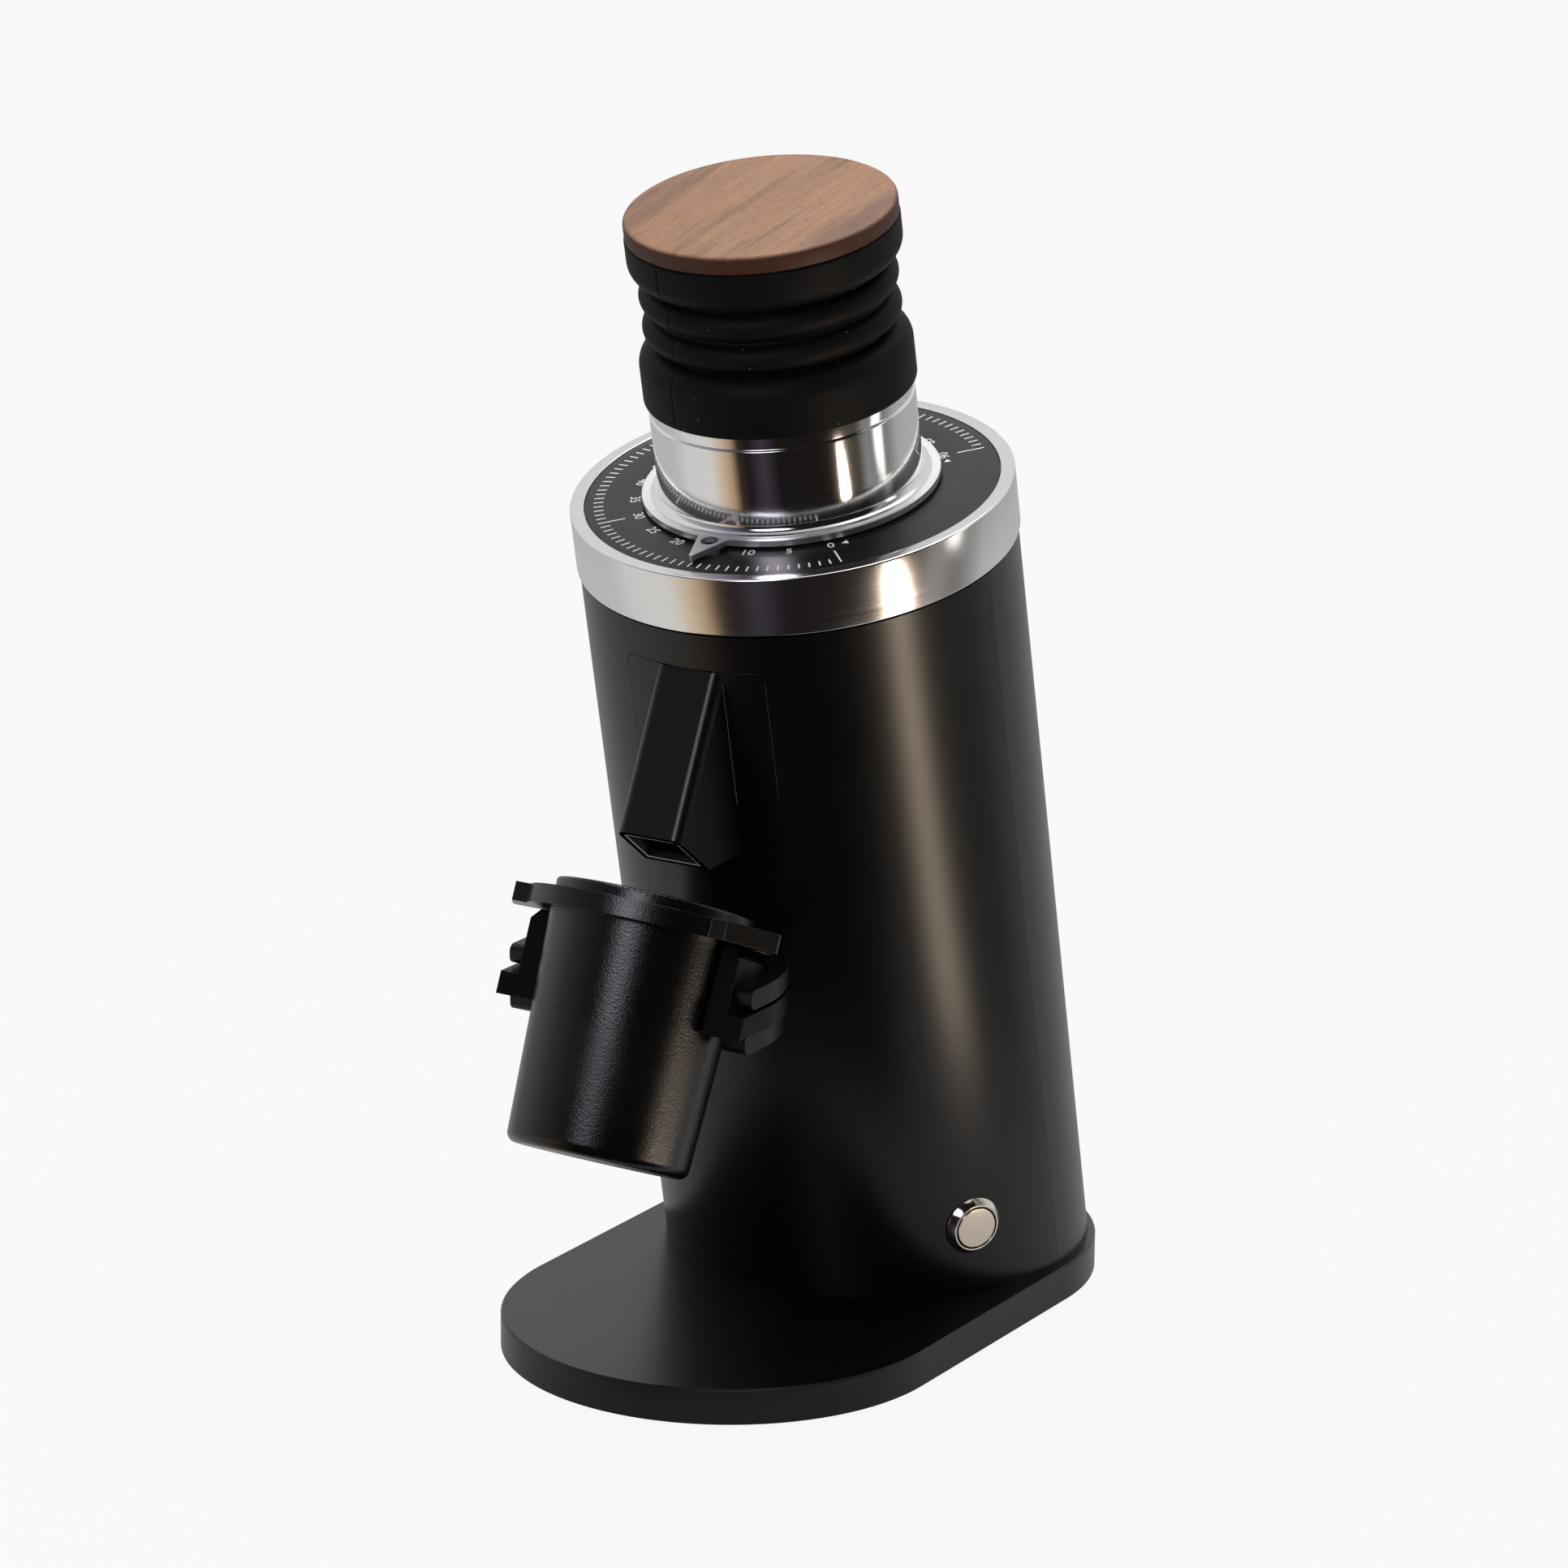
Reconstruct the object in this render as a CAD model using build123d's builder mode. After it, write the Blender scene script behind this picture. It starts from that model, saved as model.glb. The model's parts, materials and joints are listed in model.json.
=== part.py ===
from build123d import *
import os
from math import atan, cos, degrees, radians, sin, sqrt, tan

os.makedirs("parts", exist_ok=True)

# Compact single-dose burr coffee grinder. Millimetres, +Z up, front towards -Y.
# The origin is on the table, under the middle of the base.
# "Height" below means the distance along the leaning body's axis from the top of the base.

# Fits between pieces
seam_gap = 0.15
seat_gap = 0.1
running_gap = 0.08
bearing_gap = 0.02
thread_gap = 0.08
moving_gap = 0.4

# Base and leaning body
body_lean = 12.67
body_radius = 55.4
body_wall = 4.4
body_height = 199.7
base_side_margin = 2.4
base_rear_margin = 1.0
base_reach = 132.8
base_thickness = 9.2
base_edge = 0.6
ledge_width = 7.0
ledge_thickness = 6.0

# Bottom cover and feet
cover_thickness = 2.0
cover_inset = 4.0
cover_screw_spread = 40.0
cover_screw_reach = 34.0
cover_boss_radius = 4.5
cover_boss_height = 9.0
boss_turn = 65.0
vent_count = 6
vent_pitch = 7.0
vent_length = 28.0
vent_width = 3.0
foot_height = 2.0
foot_seat = 0.8
foot_radius = 8.0
foot_margin = 2.0
foot_turn = 30.0
foot_edge = 0.6

# Collar, dial and pointer
collar_gap = 0.6
collar_radius = 56.0
collar_height = 15.35
collar_rim = 3.6
collar_edge = 0.4
spigot_depth = 6.0
spigot_wall = 5.0
dial_thickness = 2.0
dial_recess = 0.3
web_thickness = 8.3
pointer_gap = 0.7
pointer_thickness = 1.5
pointer_ring_radius = 37.6
pointer_tip_radius = 49.2
pointer_width = 10.8
pointer_hole_radius = 2.25
tip_rounding = 0.5
glide_width = 0.9

# Adjuster neck
journal_radius = 36.0
neck_radius = 33.3
neck_foot_radius = 34.4
neck_foot_rise = 1.6
neck_length = 25.1
neck_band_height = 2.9
neck_band_step = 0.5
neck_spigot_radius = 31.0
neck_spigot_length = 9.5
throat_radius = 28.4
thread_radius = 32.0
skirt_wall = 3.0
ring_groove_depth = 1.1
retainer_thickness = 1.0
retainer_width = 3.5

# Bellows and lid
bellows_radius = 34.2
bellows_wall = 1.8
cuff_height = 15.4
cuff_rounding = 0.9
fold_radius = 32.3
fold_root_radius = 28.8
fold_pitch = 8.3
fold_slit = 0.8
fold_count = 2
top_cuff_height = 11.2
top_cuff_rise = 5.2
lid_radius = 34.0
lid_thickness = 4.9
lid_edge = 1.2
lid_spigot_depth = 5.0

# Burrs and grinding chamber
burr_depth = 27.7
burr_radius = 27.0
burr_bore = 16.0
burr_thickness = 7.5
burr_gap = 0.25
burr_teeth = 24
tooth_width = 1.1
tooth_depth = 1.2
tooth_skew = 18.0
burr_screw_circle = 21.5
burr_head = 2.4
carrier_rim = 3.0
carrier_flange = 5.0
carrier_flange_radius = 35.6
carrier_thread_length = 16.0
lower_carrier_radius = 29.5
lower_carrier_disc = 8.0
hub_radius = 9.5
hub_length = 8.0
sweeper_length = 4.6
sweeper_width = 3.0
sweeper_drop = 5.0
chamber_wall = 4.0
chamber_floor = 6.0
floor_gap = 1.5
chamber_circle = 29.0
key_width = 4.0
key_depth = 1.7
key_seat = 1.5

# Motor
plate_thickness = 9.0
motor_radius = 40.0
motor_length = 66.0
motor_wall = 2.5
end_cap_thickness = 6.0
air_gap = 0.8
stator_width = 13.0
stator_length = 44.0
stator_slots = 12
winding_height = 5.0
shaft_radius = 5.0
shaft_tail = 3.0
stub_radius = 4.0
bearing_radius = 13.0
bearing_width = 8.0
nut_radius = 6.5
nut_height = 6.0
seal_radius = 10.0

# Chute
plate_width = 39.8
plate_height = 36.4
plate_corner = 3.0
plate_depth = 2.0
plate_drop = 9.6
spout_width = 18.8
spout_wall = 2.0
spout_rounding = 3.0
lip_reach = 25.9
lip_drop = 33.6
tip_reach = 14.6
tip_drop = 46.9
heel_drop = 49.6
duct_drop = 9.6
duct_height = 20.5
liner_wall = 0.6
liner_depth = 1.8
stud_radius = 2.0
stud_inset = 4.6
stud_length = 9.0
chute_nut_radius = 3.5
chute_nut_height = 3.0

# Dosing cup
pour_tilt = 24.0
cup_body_gap = 2.6
cup_drop = 63.4
cup_top_radius = 24.9
cup_bottom_radius = 22.8
cup_depth = 58.0
cup_wall = 2.2
cup_floor = 2.5
cup_rounding = 2.6
flange_radius = 30.8
flange_thickness = 4.8
cup_lip = 3.2
ear_reach = 38.3
ear_front = 16.0
ear_tip = 3.2
ear_back = 2.2
cup_lip_rounding = 0.7

# Fork under the cup
fork_half_width = 30.5
rail_half_width = 35.5
rail_height = 5.2
rail_drop = 13.1
fork_offset = 1.8
fork_reach = 6.1
fork_chamfer = 2.6
cup_clearance = 0.4
grip_height = 5.4
upper_grip_height = 5.8
upper_grip_gap = 0.8
lower_grip_inset = 1.0
grip_setback = 3.6
grip_rounding = 1.9
grip_wrap = 35.0
lower_grip_width = 8.0
pad_width = 30.0
pad_height = 13.2
fork_screw_spread = 16.0

# Push button
button_turn = 30.2
button_height = 25.8
bezel_radius = 7.7
bezel_height = 1.9
bezel_bevel = 1.75
barrel_radius = 6.4
barrel_length = 20.0
bezel_land = 0.45
button_gap = 0.4
cap_radius = 5.45
cap_rise = 0.1
cap_length = 6.0
cap_edge = 0.3
seal_thickness = 0.5
button_nut_radius = 8.5
button_nut_height = 2.5
switch_gap = 2.5
switch_pitch = 3.0
switch_pin = 0.8

# Power inlet
inlet_height = 34.0
inlet_width = 27.0
inlet_tall = 20.0
inlet_corner = 2.0
inlet_flange = 1.8
inlet_flange_thickness = 2.2
inlet_depth = 26.0
socket_depth = 17.0
socket_wall = 1.6
pin_width = 4.0
pin_thickness = 2.0
pin_length = 15.0
pin_pitch = 7.0
earth_rise = 4.0

# Control board
board_width = 56.0
board_length = 60.0
board_thickness = 1.6
board_inset = 4.0
post_radius = 3.0
post_height = 9.0
capacitor_radius = 8.0
capacitor_height = 16.0
choke_size = 14.0

# Screws
m3_radius = 1.5
m3_head_radius = 2.75
m3_head = 1.8
m4_radius = 2.0
m4_head_radius = 3.5
m4_head = 3.2
screw_engagement = 6.0

# Directions and planes of the leaning body
lean = radians(body_lean)
base_top = foot_height + base_thickness
base_back = body_radius / cos(lean) + base_rear_margin
base_width = 2 * (body_radius + base_side_margin)
base_length = base_reach + base_back
axis_setback = (base_reach - base_back) / 2
axis_up = Vector(0, -sin(lean), cos(lean))
forward = Vector(0, -cos(lean), -sin(lean))
axis_foot = Vector(0, axis_setback, base_top)
body_axis = Axis(axis_foot, axis_up)
level = Plane(origin=axis_foot, x_dir=(1, 0, 0), z_dir=axis_up)
section = Plane(origin=axis_foot, x_dir=(1, 0, 0), z_dir=forward)
side = Plane(origin=axis_foot, x_dir=forward, z_dir=(-1, 0, 0))
bore_radius = body_radius - body_wall

# Heights of the stack along the body's axis, from the top down
collar_low = body_height + collar_gap
collar_top = collar_low + collar_height
dial_top = collar_top - dial_recess
dial_low = dial_top - dial_thickness
web_low = dial_low - web_thickness
pointer_low = dial_top + pointer_gap
pointer_top = pointer_low + pointer_thickness
neck_top = pointer_top + neck_length
dial_bore = journal_radius + moving_gap
dial_radius = collar_radius - collar_rim - seam_gap
burr_plane = body_height - burr_depth
lower_seat = burr_plane - burr_thickness
upper_seat = burr_plane + burr_gap + burr_thickness
carrier_low = upper_seat + 2
carrier_step = carrier_low + carrier_flange
carrier_top = carrier_step + carrier_thread_length
skirt_low = carrier_step + 4 * moving_gap
thread_top = carrier_top + 4 * moving_gap
disc_low = lower_seat - lower_carrier_disc
hub_low = disc_low - hub_length
floor_top = hub_low - floor_gap
chamber_low = floor_top - chamber_floor
chamber_bore = carrier_flange_radius + moving_gap
chamber_radius = chamber_bore + chamber_wall
chamber_top = carrier_step + moving_gap
plate_low = chamber_low - plate_thickness
ledge_low = plate_low - ledge_thickness
ledge_radius = bore_radius - ledge_width
motor_low = plate_low - motor_length
tie_circle = bore_radius - m4_head_radius - seam_gap
plate_screw_circle = bore_radius - m3_head_radius - seam_gap


def ring(inner, outer, low, high, mode=Mode.ADD):
    """A ring, or a disc where inner is 0, about the body's axis between two heights."""
    with BuildSketch(level.offset(low)) as outline:
        Circle(outer)
        if inner > 0:
            Circle(inner, mode=Mode.SUBTRACT)
    extrude(outline.sketch, amount=high - low, mode=mode)


def turn(points, plane=section, axis=body_axis, mode=Mode.ADD):
    """A solid of revolution from an outline of (radius, distance along the axis) points."""
    with BuildSketch(plane) as outline:
        with BuildLine():
            Polyline(*points, close=True)
        make_face()
    revolve(outline.sketch, axis=axis, mode=mode)


def pins(plane, points, radius, start, end, mode=Mode.ADD):
    """Round pins, or holes where subtracted, square to a plane between two distances from it."""
    with BuildSketch(plane.offset(start)) as outline:
        with Locations(*points):
            Circle(radius)
    extrude(outline.sketch, amount=end - start, mode=mode)


def block(plane, centre, width, tall, start, end, corner=0, mode=Mode.ADD):
    """A block with optional rounded corners, square to a plane between two distances from it."""
    with BuildSketch(plane.offset(start)) as outline:
        with Locations(centre):
            if corner > 0:
                RectangleRounded(width, tall, corner)
            else:
                Rectangle(width, tall)
    extrude(outline.sketch, amount=end - start, mode=mode)


def spokes(circle, count, length, width, low, high, start=0, skew=0, mode=Mode.ADD):
    """Radial bars about the body's axis, centred on a circle."""
    with BuildSketch(level.offset(low)) as outline:
        with PolarLocations(circle, count, start_angle=start):
            Rectangle(length, width, rotation=skew)
    extrude(outline.sketch, amount=high - low, mode=mode)


def around(circle, count, start=0):
    """Points evenly spaced on a circle, in the level planes square to the body's axis."""
    angles = [radians(start + 360 * i / count) for i in range(count)]
    return [(circle * cos(angle), circle * sin(angle)) for angle in angles]


def screws(points, radius, head_radius, head, seat, length, up=1):
    """Screws along the body's axis; the head stands on the seat and up says which way it points."""
    pins(level, points, radius, seat - up * length, seat)
    pins(level, points, head_radius, seat, seat + up * head)


def stadium(margin, low, high, mode=Mode.ADD):
    """The base's outline drawn in by a margin, between two heights above the table."""
    with BuildSketch(Plane.XY.offset(low)) as outline:
        SlotOverall(base_length - 2 * margin, base_width - 2 * margin, rotation=90)
    extrude(outline.sketch, amount=high - low, mode=mode)


# Places of the bottom cover's screws, feet and board
cover_top = foot_height + cover_thickness
cover_end = (base_length - base_width) / 2
cover_end_radius = base_width / 2 - cover_inset
front_screw_points = [(x * cover_screw_spread / 2, -cover_end - cover_screw_reach) for x in (-1, 1)]
boss_circle = bore_radius - cover_boss_radius / 2
boss_side = boss_circle * cos(radians(boss_turn))
boss_back = axis_setback + boss_circle * sin(radians(boss_turn))
boss_points = [(x * boss_side, boss_back) for x in (-1, 1)]
cover_points = front_screw_points + boss_points
foot_circle = cover_end_radius - foot_radius - foot_margin
foot_side = foot_circle * cos(radians(foot_turn))
foot_end = cover_end + foot_circle * sin(radians(foot_turn))
foot_points = [(x * foot_side, y * foot_end) for x in (-1, 1) for y in (-1, 1)]
post_points = [(x * (board_width / 2 - board_inset), axis_setback + y * (board_length / 2 - board_inset))
               for x in (-1, 1) for y in (-1, 1)]
board_low = cover_top + post_height
board_top = board_low + board_thickness

# Places of the chute's plate, studs and duct
plate_top = body_height - plate_drop
plate_middle = plate_top - plate_height / 2
stud_points = [(x * (plate_width / 2 - stud_inset), plate_middle + y * (plate_height / 2 - stud_inset))
               for x in (-1, 1) for y in (-1, 1)]
duct_top = plate_top - duct_drop
duct_low = duct_top - duct_height
duct_middle = (duct_top + duct_low) / 2
duct_half = spout_width / 2 - spout_wall
lip = Vector(body_radius + lip_reach, plate_top - lip_drop)
tip = Vector(body_radius + tip_reach, plate_top - tip_drop)
roof_start = Vector(body_radius, plate_top)
heel = Vector(body_radius, plate_top - heel_drop)
mouth_run = (tip - lip).normalized()
mouth_out = Vector(-mouth_run.Y, mouth_run.X)
roof_run = (lip - roof_start).normalized()

# Place of the cup: its seat is where the flange's underside crosses the cup's axis
pour = radians(pour_tilt)
cup_up = Vector(0, sin(pour), cos(pour))
cup_out = Vector(0, -cos(pour), sin(pour))
cup_forward = body_radius + cup_body_gap + flange_radius * cos(pour + lean)
cup_flange_top = axis_foot + forward * cup_forward + axis_up * (body_height - cup_drop)
cup_seat = cup_flange_top - cup_up * flange_thickness
cup_level = Plane(origin=cup_seat, x_dir=(1, 0, 0), z_dir=cup_up)
cup_section = Plane(origin=cup_seat, x_dir=(1, 0, 0), z_dir=cup_out)
cup_axis = Axis(cup_seat, cup_up)

# Place of the fork: level rails behind and beside the cup
rail_top = cup_seat.Z - rail_drop
rail_low = rail_top - rail_height
pad_low = rail_top - pad_height
fork_middle = cup_seat.Y - fork_offset
fork_screw_height = ((rail_top + pad_low) / 2 - base_top) / cos(lean) + body_radius * tan(lean)
fork_screw_points = [(x * fork_screw_spread / 2, fork_screw_height) for x in (-1, 1)]

# Place of the button: on the right, turned towards the front
button_out = Vector(1, 0, 0) * cos(radians(button_turn)) + forward * sin(radians(button_turn))
spot_radius = bezel_radius + seam_gap
spot_distance = sqrt(body_radius ** 2 - spot_radius ** 2)
button_spot = axis_foot + axis_up * button_height + button_out * spot_distance
button_face = Plane(origin=button_spot, x_dir=axis_up, z_dir=button_out)
button_section = Plane(origin=button_spot, x_dir=axis_up, z_dir=axis_up.cross(button_out))
button_axis = Axis(button_spot, button_out)

# Place of the power inlet: a flat pocket low on the back
flange_width = inlet_width + 2 * inlet_flange
flange_tall = inlet_tall + 2 * inlet_flange
pocket_distance = sqrt(body_radius ** 2 - (flange_width / 2 + seam_gap) ** 2)
inlet_face = Plane(origin=axis_foot + axis_up * inlet_height - forward * pocket_distance,
                   x_dir=(-1, 0, 0), z_dir=-forward)

# Seat for the chute's plate: a shallow step in the tube's outer skin
with BuildPart() as chute_seat:
    ring(body_radius - plate_depth, body_radius + plate_depth, plate_top - 2 * plate_height, body_height)
    block(section, (0, plate_middle), plate_width + 2 * seam_gap, plate_height + 2 * seam_gap,
          0, 2 * body_radius, plate_corner, Mode.INTERSECT)

# Housing: the leaning tube and the base, cast in one piece
tube_start = -body_radius * tan(lean) - base_thickness
with BuildPart() as housing:
    ring(0, body_radius, tube_start, body_height)
    split(bisect_by=Plane.XY.offset(base_top), keep=Keep.TOP)
    stadium(0, foot_height, base_top)
    base_rim = housing.edges().filter_by_position(Axis.Z, base_top - 0.01, base_top + 0.01)
    outer_rim = base_rim.filter_by(lambda edge: abs(edge.center().X) + abs(edge.center().Y) > body_radius)
    chamfer(outer_rim.filter_by(lambda edge: not edge.is_closed), length=base_edge)
    ring(0, bore_radius, 2 * tube_start, body_height, Mode.SUBTRACT)
    ring(ledge_radius, bore_radius + body_wall / 2, ledge_low, plate_low)
    pins(level, around(plate_screw_circle, 4), m3_radius, ledge_low, plate_low, Mode.SUBTRACT)
    # cover recess, with two screw bosses on the bore's wall
    pins(Plane.XY, boss_points, cover_boss_radius, foot_height, cover_top + cover_boss_height)
    stadium(cover_inset, foot_height, cover_top, Mode.SUBTRACT)
    pins(Plane.XY, cover_points, m3_radius, foot_height, cover_top + screw_engagement, Mode.SUBTRACT)
    # chute: seat, duct opening and stud holes
    add(chute_seat.part, mode=Mode.SUBTRACT)
    block(section, (0, duct_middle), spout_width + 2 * seam_gap, duct_height + 2 * (spout_wall + seam_gap),
          0, body_radius + 1, mode=Mode.SUBTRACT)
    pins(section, stud_points, stud_radius + seam_gap, 0, body_radius, Mode.SUBTRACT)
    # fork screws, push button and power inlet
    pins(section, fork_screw_points, m4_radius + seam_gap, 0, body_radius + 1, Mode.SUBTRACT)
    pins(button_face, [(0, 0)], spot_radius, 0, body_wall, Mode.SUBTRACT)
    pins(button_face, [(0, 0)], barrel_radius + seam_gap, -2 * body_wall, 1, Mode.SUBTRACT)
    block(inlet_face, (0, 0), flange_width + 2 * seam_gap, flange_tall + 2 * seam_gap,
          0, body_radius - pocket_distance + 1, inlet_corner, Mode.SUBTRACT)
    block(inlet_face, (0, 0), inlet_width + 2 * seam_gap, inlet_tall + 2 * seam_gap,
          -3 * body_wall, 1, inlet_corner, Mode.SUBTRACT)
housing.part.label = "housing"
export_step(housing.part, "parts/housing.step")

# Bottom cover with cooling slots, its screws and the rubber feet
cover_head_top = foot_height + cover_thickness / 2
with BuildPart() as bottom_cover:
    stadium(cover_inset + seam_gap, foot_height, cover_top)
    pins(Plane.XY, cover_points, m3_radius, foot_height, cover_top, Mode.SUBTRACT)
    pins(Plane.XY, cover_points, m3_head_radius, foot_height, cover_head_top, Mode.SUBTRACT)
    pins(Plane.XY, foot_points, foot_radius, foot_height, foot_height + foot_seat, Mode.SUBTRACT)
    with BuildSketch(Plane.XY.offset(foot_height)):
        with GridLocations(vent_pitch, vent_length + vent_pitch, vent_count, 2):
            SlotOverall(vent_length, vent_width, rotation=90)
    extrude(amount=cover_thickness, mode=Mode.SUBTRACT)
bottom_cover.part.label = "bottom_cover"
export_step(bottom_cover.part, "parts/bottom_cover.step")

with BuildPart() as cover_screws:
    pins(Plane.XY, cover_points, m3_head_radius, foot_height, cover_head_top)
    pins(Plane.XY, cover_points, m3_radius, cover_head_top, cover_top + screw_engagement)
    with BuildSketch(Plane.XY.offset(foot_height)):
        with Locations(*cover_points):
            RegularPolygon(m3_radius, 6)
    extrude(amount=cover_thickness / 4, mode=Mode.SUBTRACT)
cover_screws.part.label = "cover_screws"
export_step(cover_screws.part, "parts/cover_screws.step")

with BuildPart() as rubber_feet:
    pins(Plane.XY, foot_points, foot_radius, 0, foot_height + foot_seat)
    chamfer(rubber_feet.edges().group_by(Axis.Z)[0], length=foot_edge)
rubber_feet.part.label = "rubber_feet"
export_step(rubber_feet.part, "parts/rubber_feet.step")

# Control board on four posts above the cover
with BuildPart() as board_posts:
    pins(Plane.XY, post_points, post_radius, cover_top, board_low)
    pins(Plane.XY, post_points, m3_radius, board_low - screw_engagement, board_low, Mode.SUBTRACT)
board_posts.part.label = "board_posts"
export_step(board_posts.part, "parts/board_posts.step")

with BuildPart() as control_board:
    block(Plane.XY, (0, axis_setback), board_width, board_length, board_low, board_top, board_inset / 2)
    pins(Plane.XY, post_points, m3_radius, board_low, board_top, Mode.SUBTRACT)
    pins(Plane.XY, [(-board_width / 4, axis_setback + board_length / 4)], capacitor_radius,
         board_top, board_top + capacitor_height)
    block(Plane.XY, (board_width / 5, axis_setback + board_length / 5), choke_size, choke_size,
          board_top, board_top + choke_size)
    block(Plane.XY, (0, axis_setback - board_length / 4), board_width / 2, choke_size / 2,
          board_top, board_top + choke_size / 2)
control_board.part.label = "control_board"
export_step(control_board.part, "parts/control_board.step")

with BuildPart() as board_screws:
    pins(Plane.XY, post_points, m3_radius, board_low - screw_engagement, board_top)
    pins(Plane.XY, post_points, m3_head_radius, board_top, board_top + m3_head)
board_screws.part.label = "board_screws"
export_step(board_screws.part, "parts/board_screws.step")

# Collar on the tube's rim, with long bolts down to the motor plate
collar_inner = collar_radius - collar_rim
spigot_outer = bore_radius - seat_gap
spigot_inner = spigot_outer - spigot_wall
journal_bore = journal_radius + running_gap
bolt_seat = dial_low - m4_head
bolt_end = plate_low + 2
bolt_points = around(tie_circle, 4, 45)
with BuildPart() as collar_ring:
    turn([(spigot_inner, collar_low - spigot_depth), (spigot_outer, collar_low - spigot_depth),
          (spigot_outer, collar_low), (collar_radius - collar_edge, collar_low),
          (collar_radius, collar_low + collar_edge), (collar_radius, collar_top - collar_edge),
          (collar_radius - collar_edge, collar_top), (collar_inner + collar_edge, collar_top),
          (collar_inner, collar_top - collar_edge), (collar_inner, dial_low), (journal_bore, dial_low),
          (journal_bore, web_low), (spigot_inner, web_low)])
    pins(level, bolt_points, m4_head_radius + seam_gap, bolt_seat, dial_low, Mode.SUBTRACT)
    pins(level, bolt_points, m4_radius + seam_gap, collar_low - spigot_depth, bolt_seat, Mode.SUBTRACT)
collar_ring.part.label = "collar_ring"
export_step(collar_ring.part, "parts/collar_ring.step")

with BuildPart() as collar_bolts:
    screws(bolt_points, m4_radius, m4_head_radius, m4_head, bolt_seat, bolt_seat - bolt_end)
collar_bolts.part.label = "collar_bolts"
export_step(collar_bolts.part, "parts/collar_bolts.step")

with BuildPart() as dial_plate:
    ring(dial_bore, dial_radius, dial_low, dial_top)
dial_plate.part.label = "dial_plate"
export_step(dial_plate.part, "parts/dial_plate.step")

with BuildPart() as glide_ring:
    ring(dial_bore, dial_bore + glide_width, dial_top, pointer_low - running_gap)
glide_ring.part.label = "glide_ring"
export_step(glide_ring.part, "parts/glide_ring.step")

# Adjuster: the turning neck, its pointer and the ring that keeps it in the collar
retainer_top = web_low - moving_gap
retainer_low = retainer_top - retainer_thickness
groove_radius = journal_radius - ring_groove_depth
journal_low = retainer_low - 2 * retainer_thickness
skirt_radius = thread_radius + skirt_wall
flare_top = pointer_top + neck_foot_rise
band_low = neck_top - neck_band_height
band_radius = neck_radius - neck_band_step
spigot_top = neck_top + neck_spigot_length
with BuildPart() as adjuster_neck:
    turn([(thread_radius, skirt_low), (skirt_radius, skirt_low), (skirt_radius, journal_low),
          (journal_radius, journal_low), (journal_radius, retainer_low), (groove_radius, retainer_low),
          (groove_radius, retainer_top), (journal_radius, retainer_top), (journal_radius, pointer_low),
          (neck_foot_radius, pointer_low), (neck_foot_radius, pointer_top),
          (neck_radius + neck_band_step, pointer_top + neck_foot_rise / 2), (neck_radius, flare_top),
          (neck_radius, band_low - neck_band_step), (band_radius, band_low), (band_radius, neck_top),
          (neck_spigot_radius, neck_top), (neck_spigot_radius, spigot_top),
          (throat_radius, spigot_top), (throat_radius, thread_top), (thread_radius, thread_top)])
adjuster_neck.part.label = "adjuster_neck"
export_step(adjuster_neck.part, "parts/adjuster_neck.step")

pointer_hole_circle = pointer_ring_radius + pointer_hole_radius - 0.8
with BuildPart() as pointer_ring:
    with BuildSketch(level.offset(pointer_low)):
        with BuildLine():
            Polyline((-pointer_width / 2, -neck_foot_radius), (0, -pointer_tip_radius),
                     (pointer_width / 2, -neck_foot_radius), close=True)
        pointer_blade = make_face()
        fillet(pointer_blade.vertices().sort_by(Axis.Y)[0], radius=tip_rounding)
        Circle(pointer_ring_radius)
        Circle(neck_foot_radius, mode=Mode.SUBTRACT)
        with Locations((0, -pointer_hole_circle)):
            Circle(pointer_hole_radius, mode=Mode.SUBTRACT)
    extrude(amount=pointer_thickness)
pointer_ring.part.label = "pointer_ring"
export_step(pointer_ring.part, "parts/pointer_ring.step")

with BuildPart() as retaining_ring:
    ring(groove_radius, groove_radius + retainer_width, retainer_low, retainer_top)
    block(level, (0, groove_radius + retainer_width / 2), retainer_width, 2 * retainer_width,
          retainer_low, retainer_top, mode=Mode.SUBTRACT)
retaining_ring.part.label = "retaining_ring"
export_step(retaining_ring.part, "parts/retaining_ring.step")


def quarter_round(x, y, radius, start):
    """A quarter of a circle in an outline, from a start angle, anticlockwise."""
    angles = [radians(start + turned) for turned in (0, 45, 90)]
    points = [(x + radius * cos(angle), y + radius * sin(angle)) for angle in angles]
    return ThreePointArc(*points)


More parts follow.
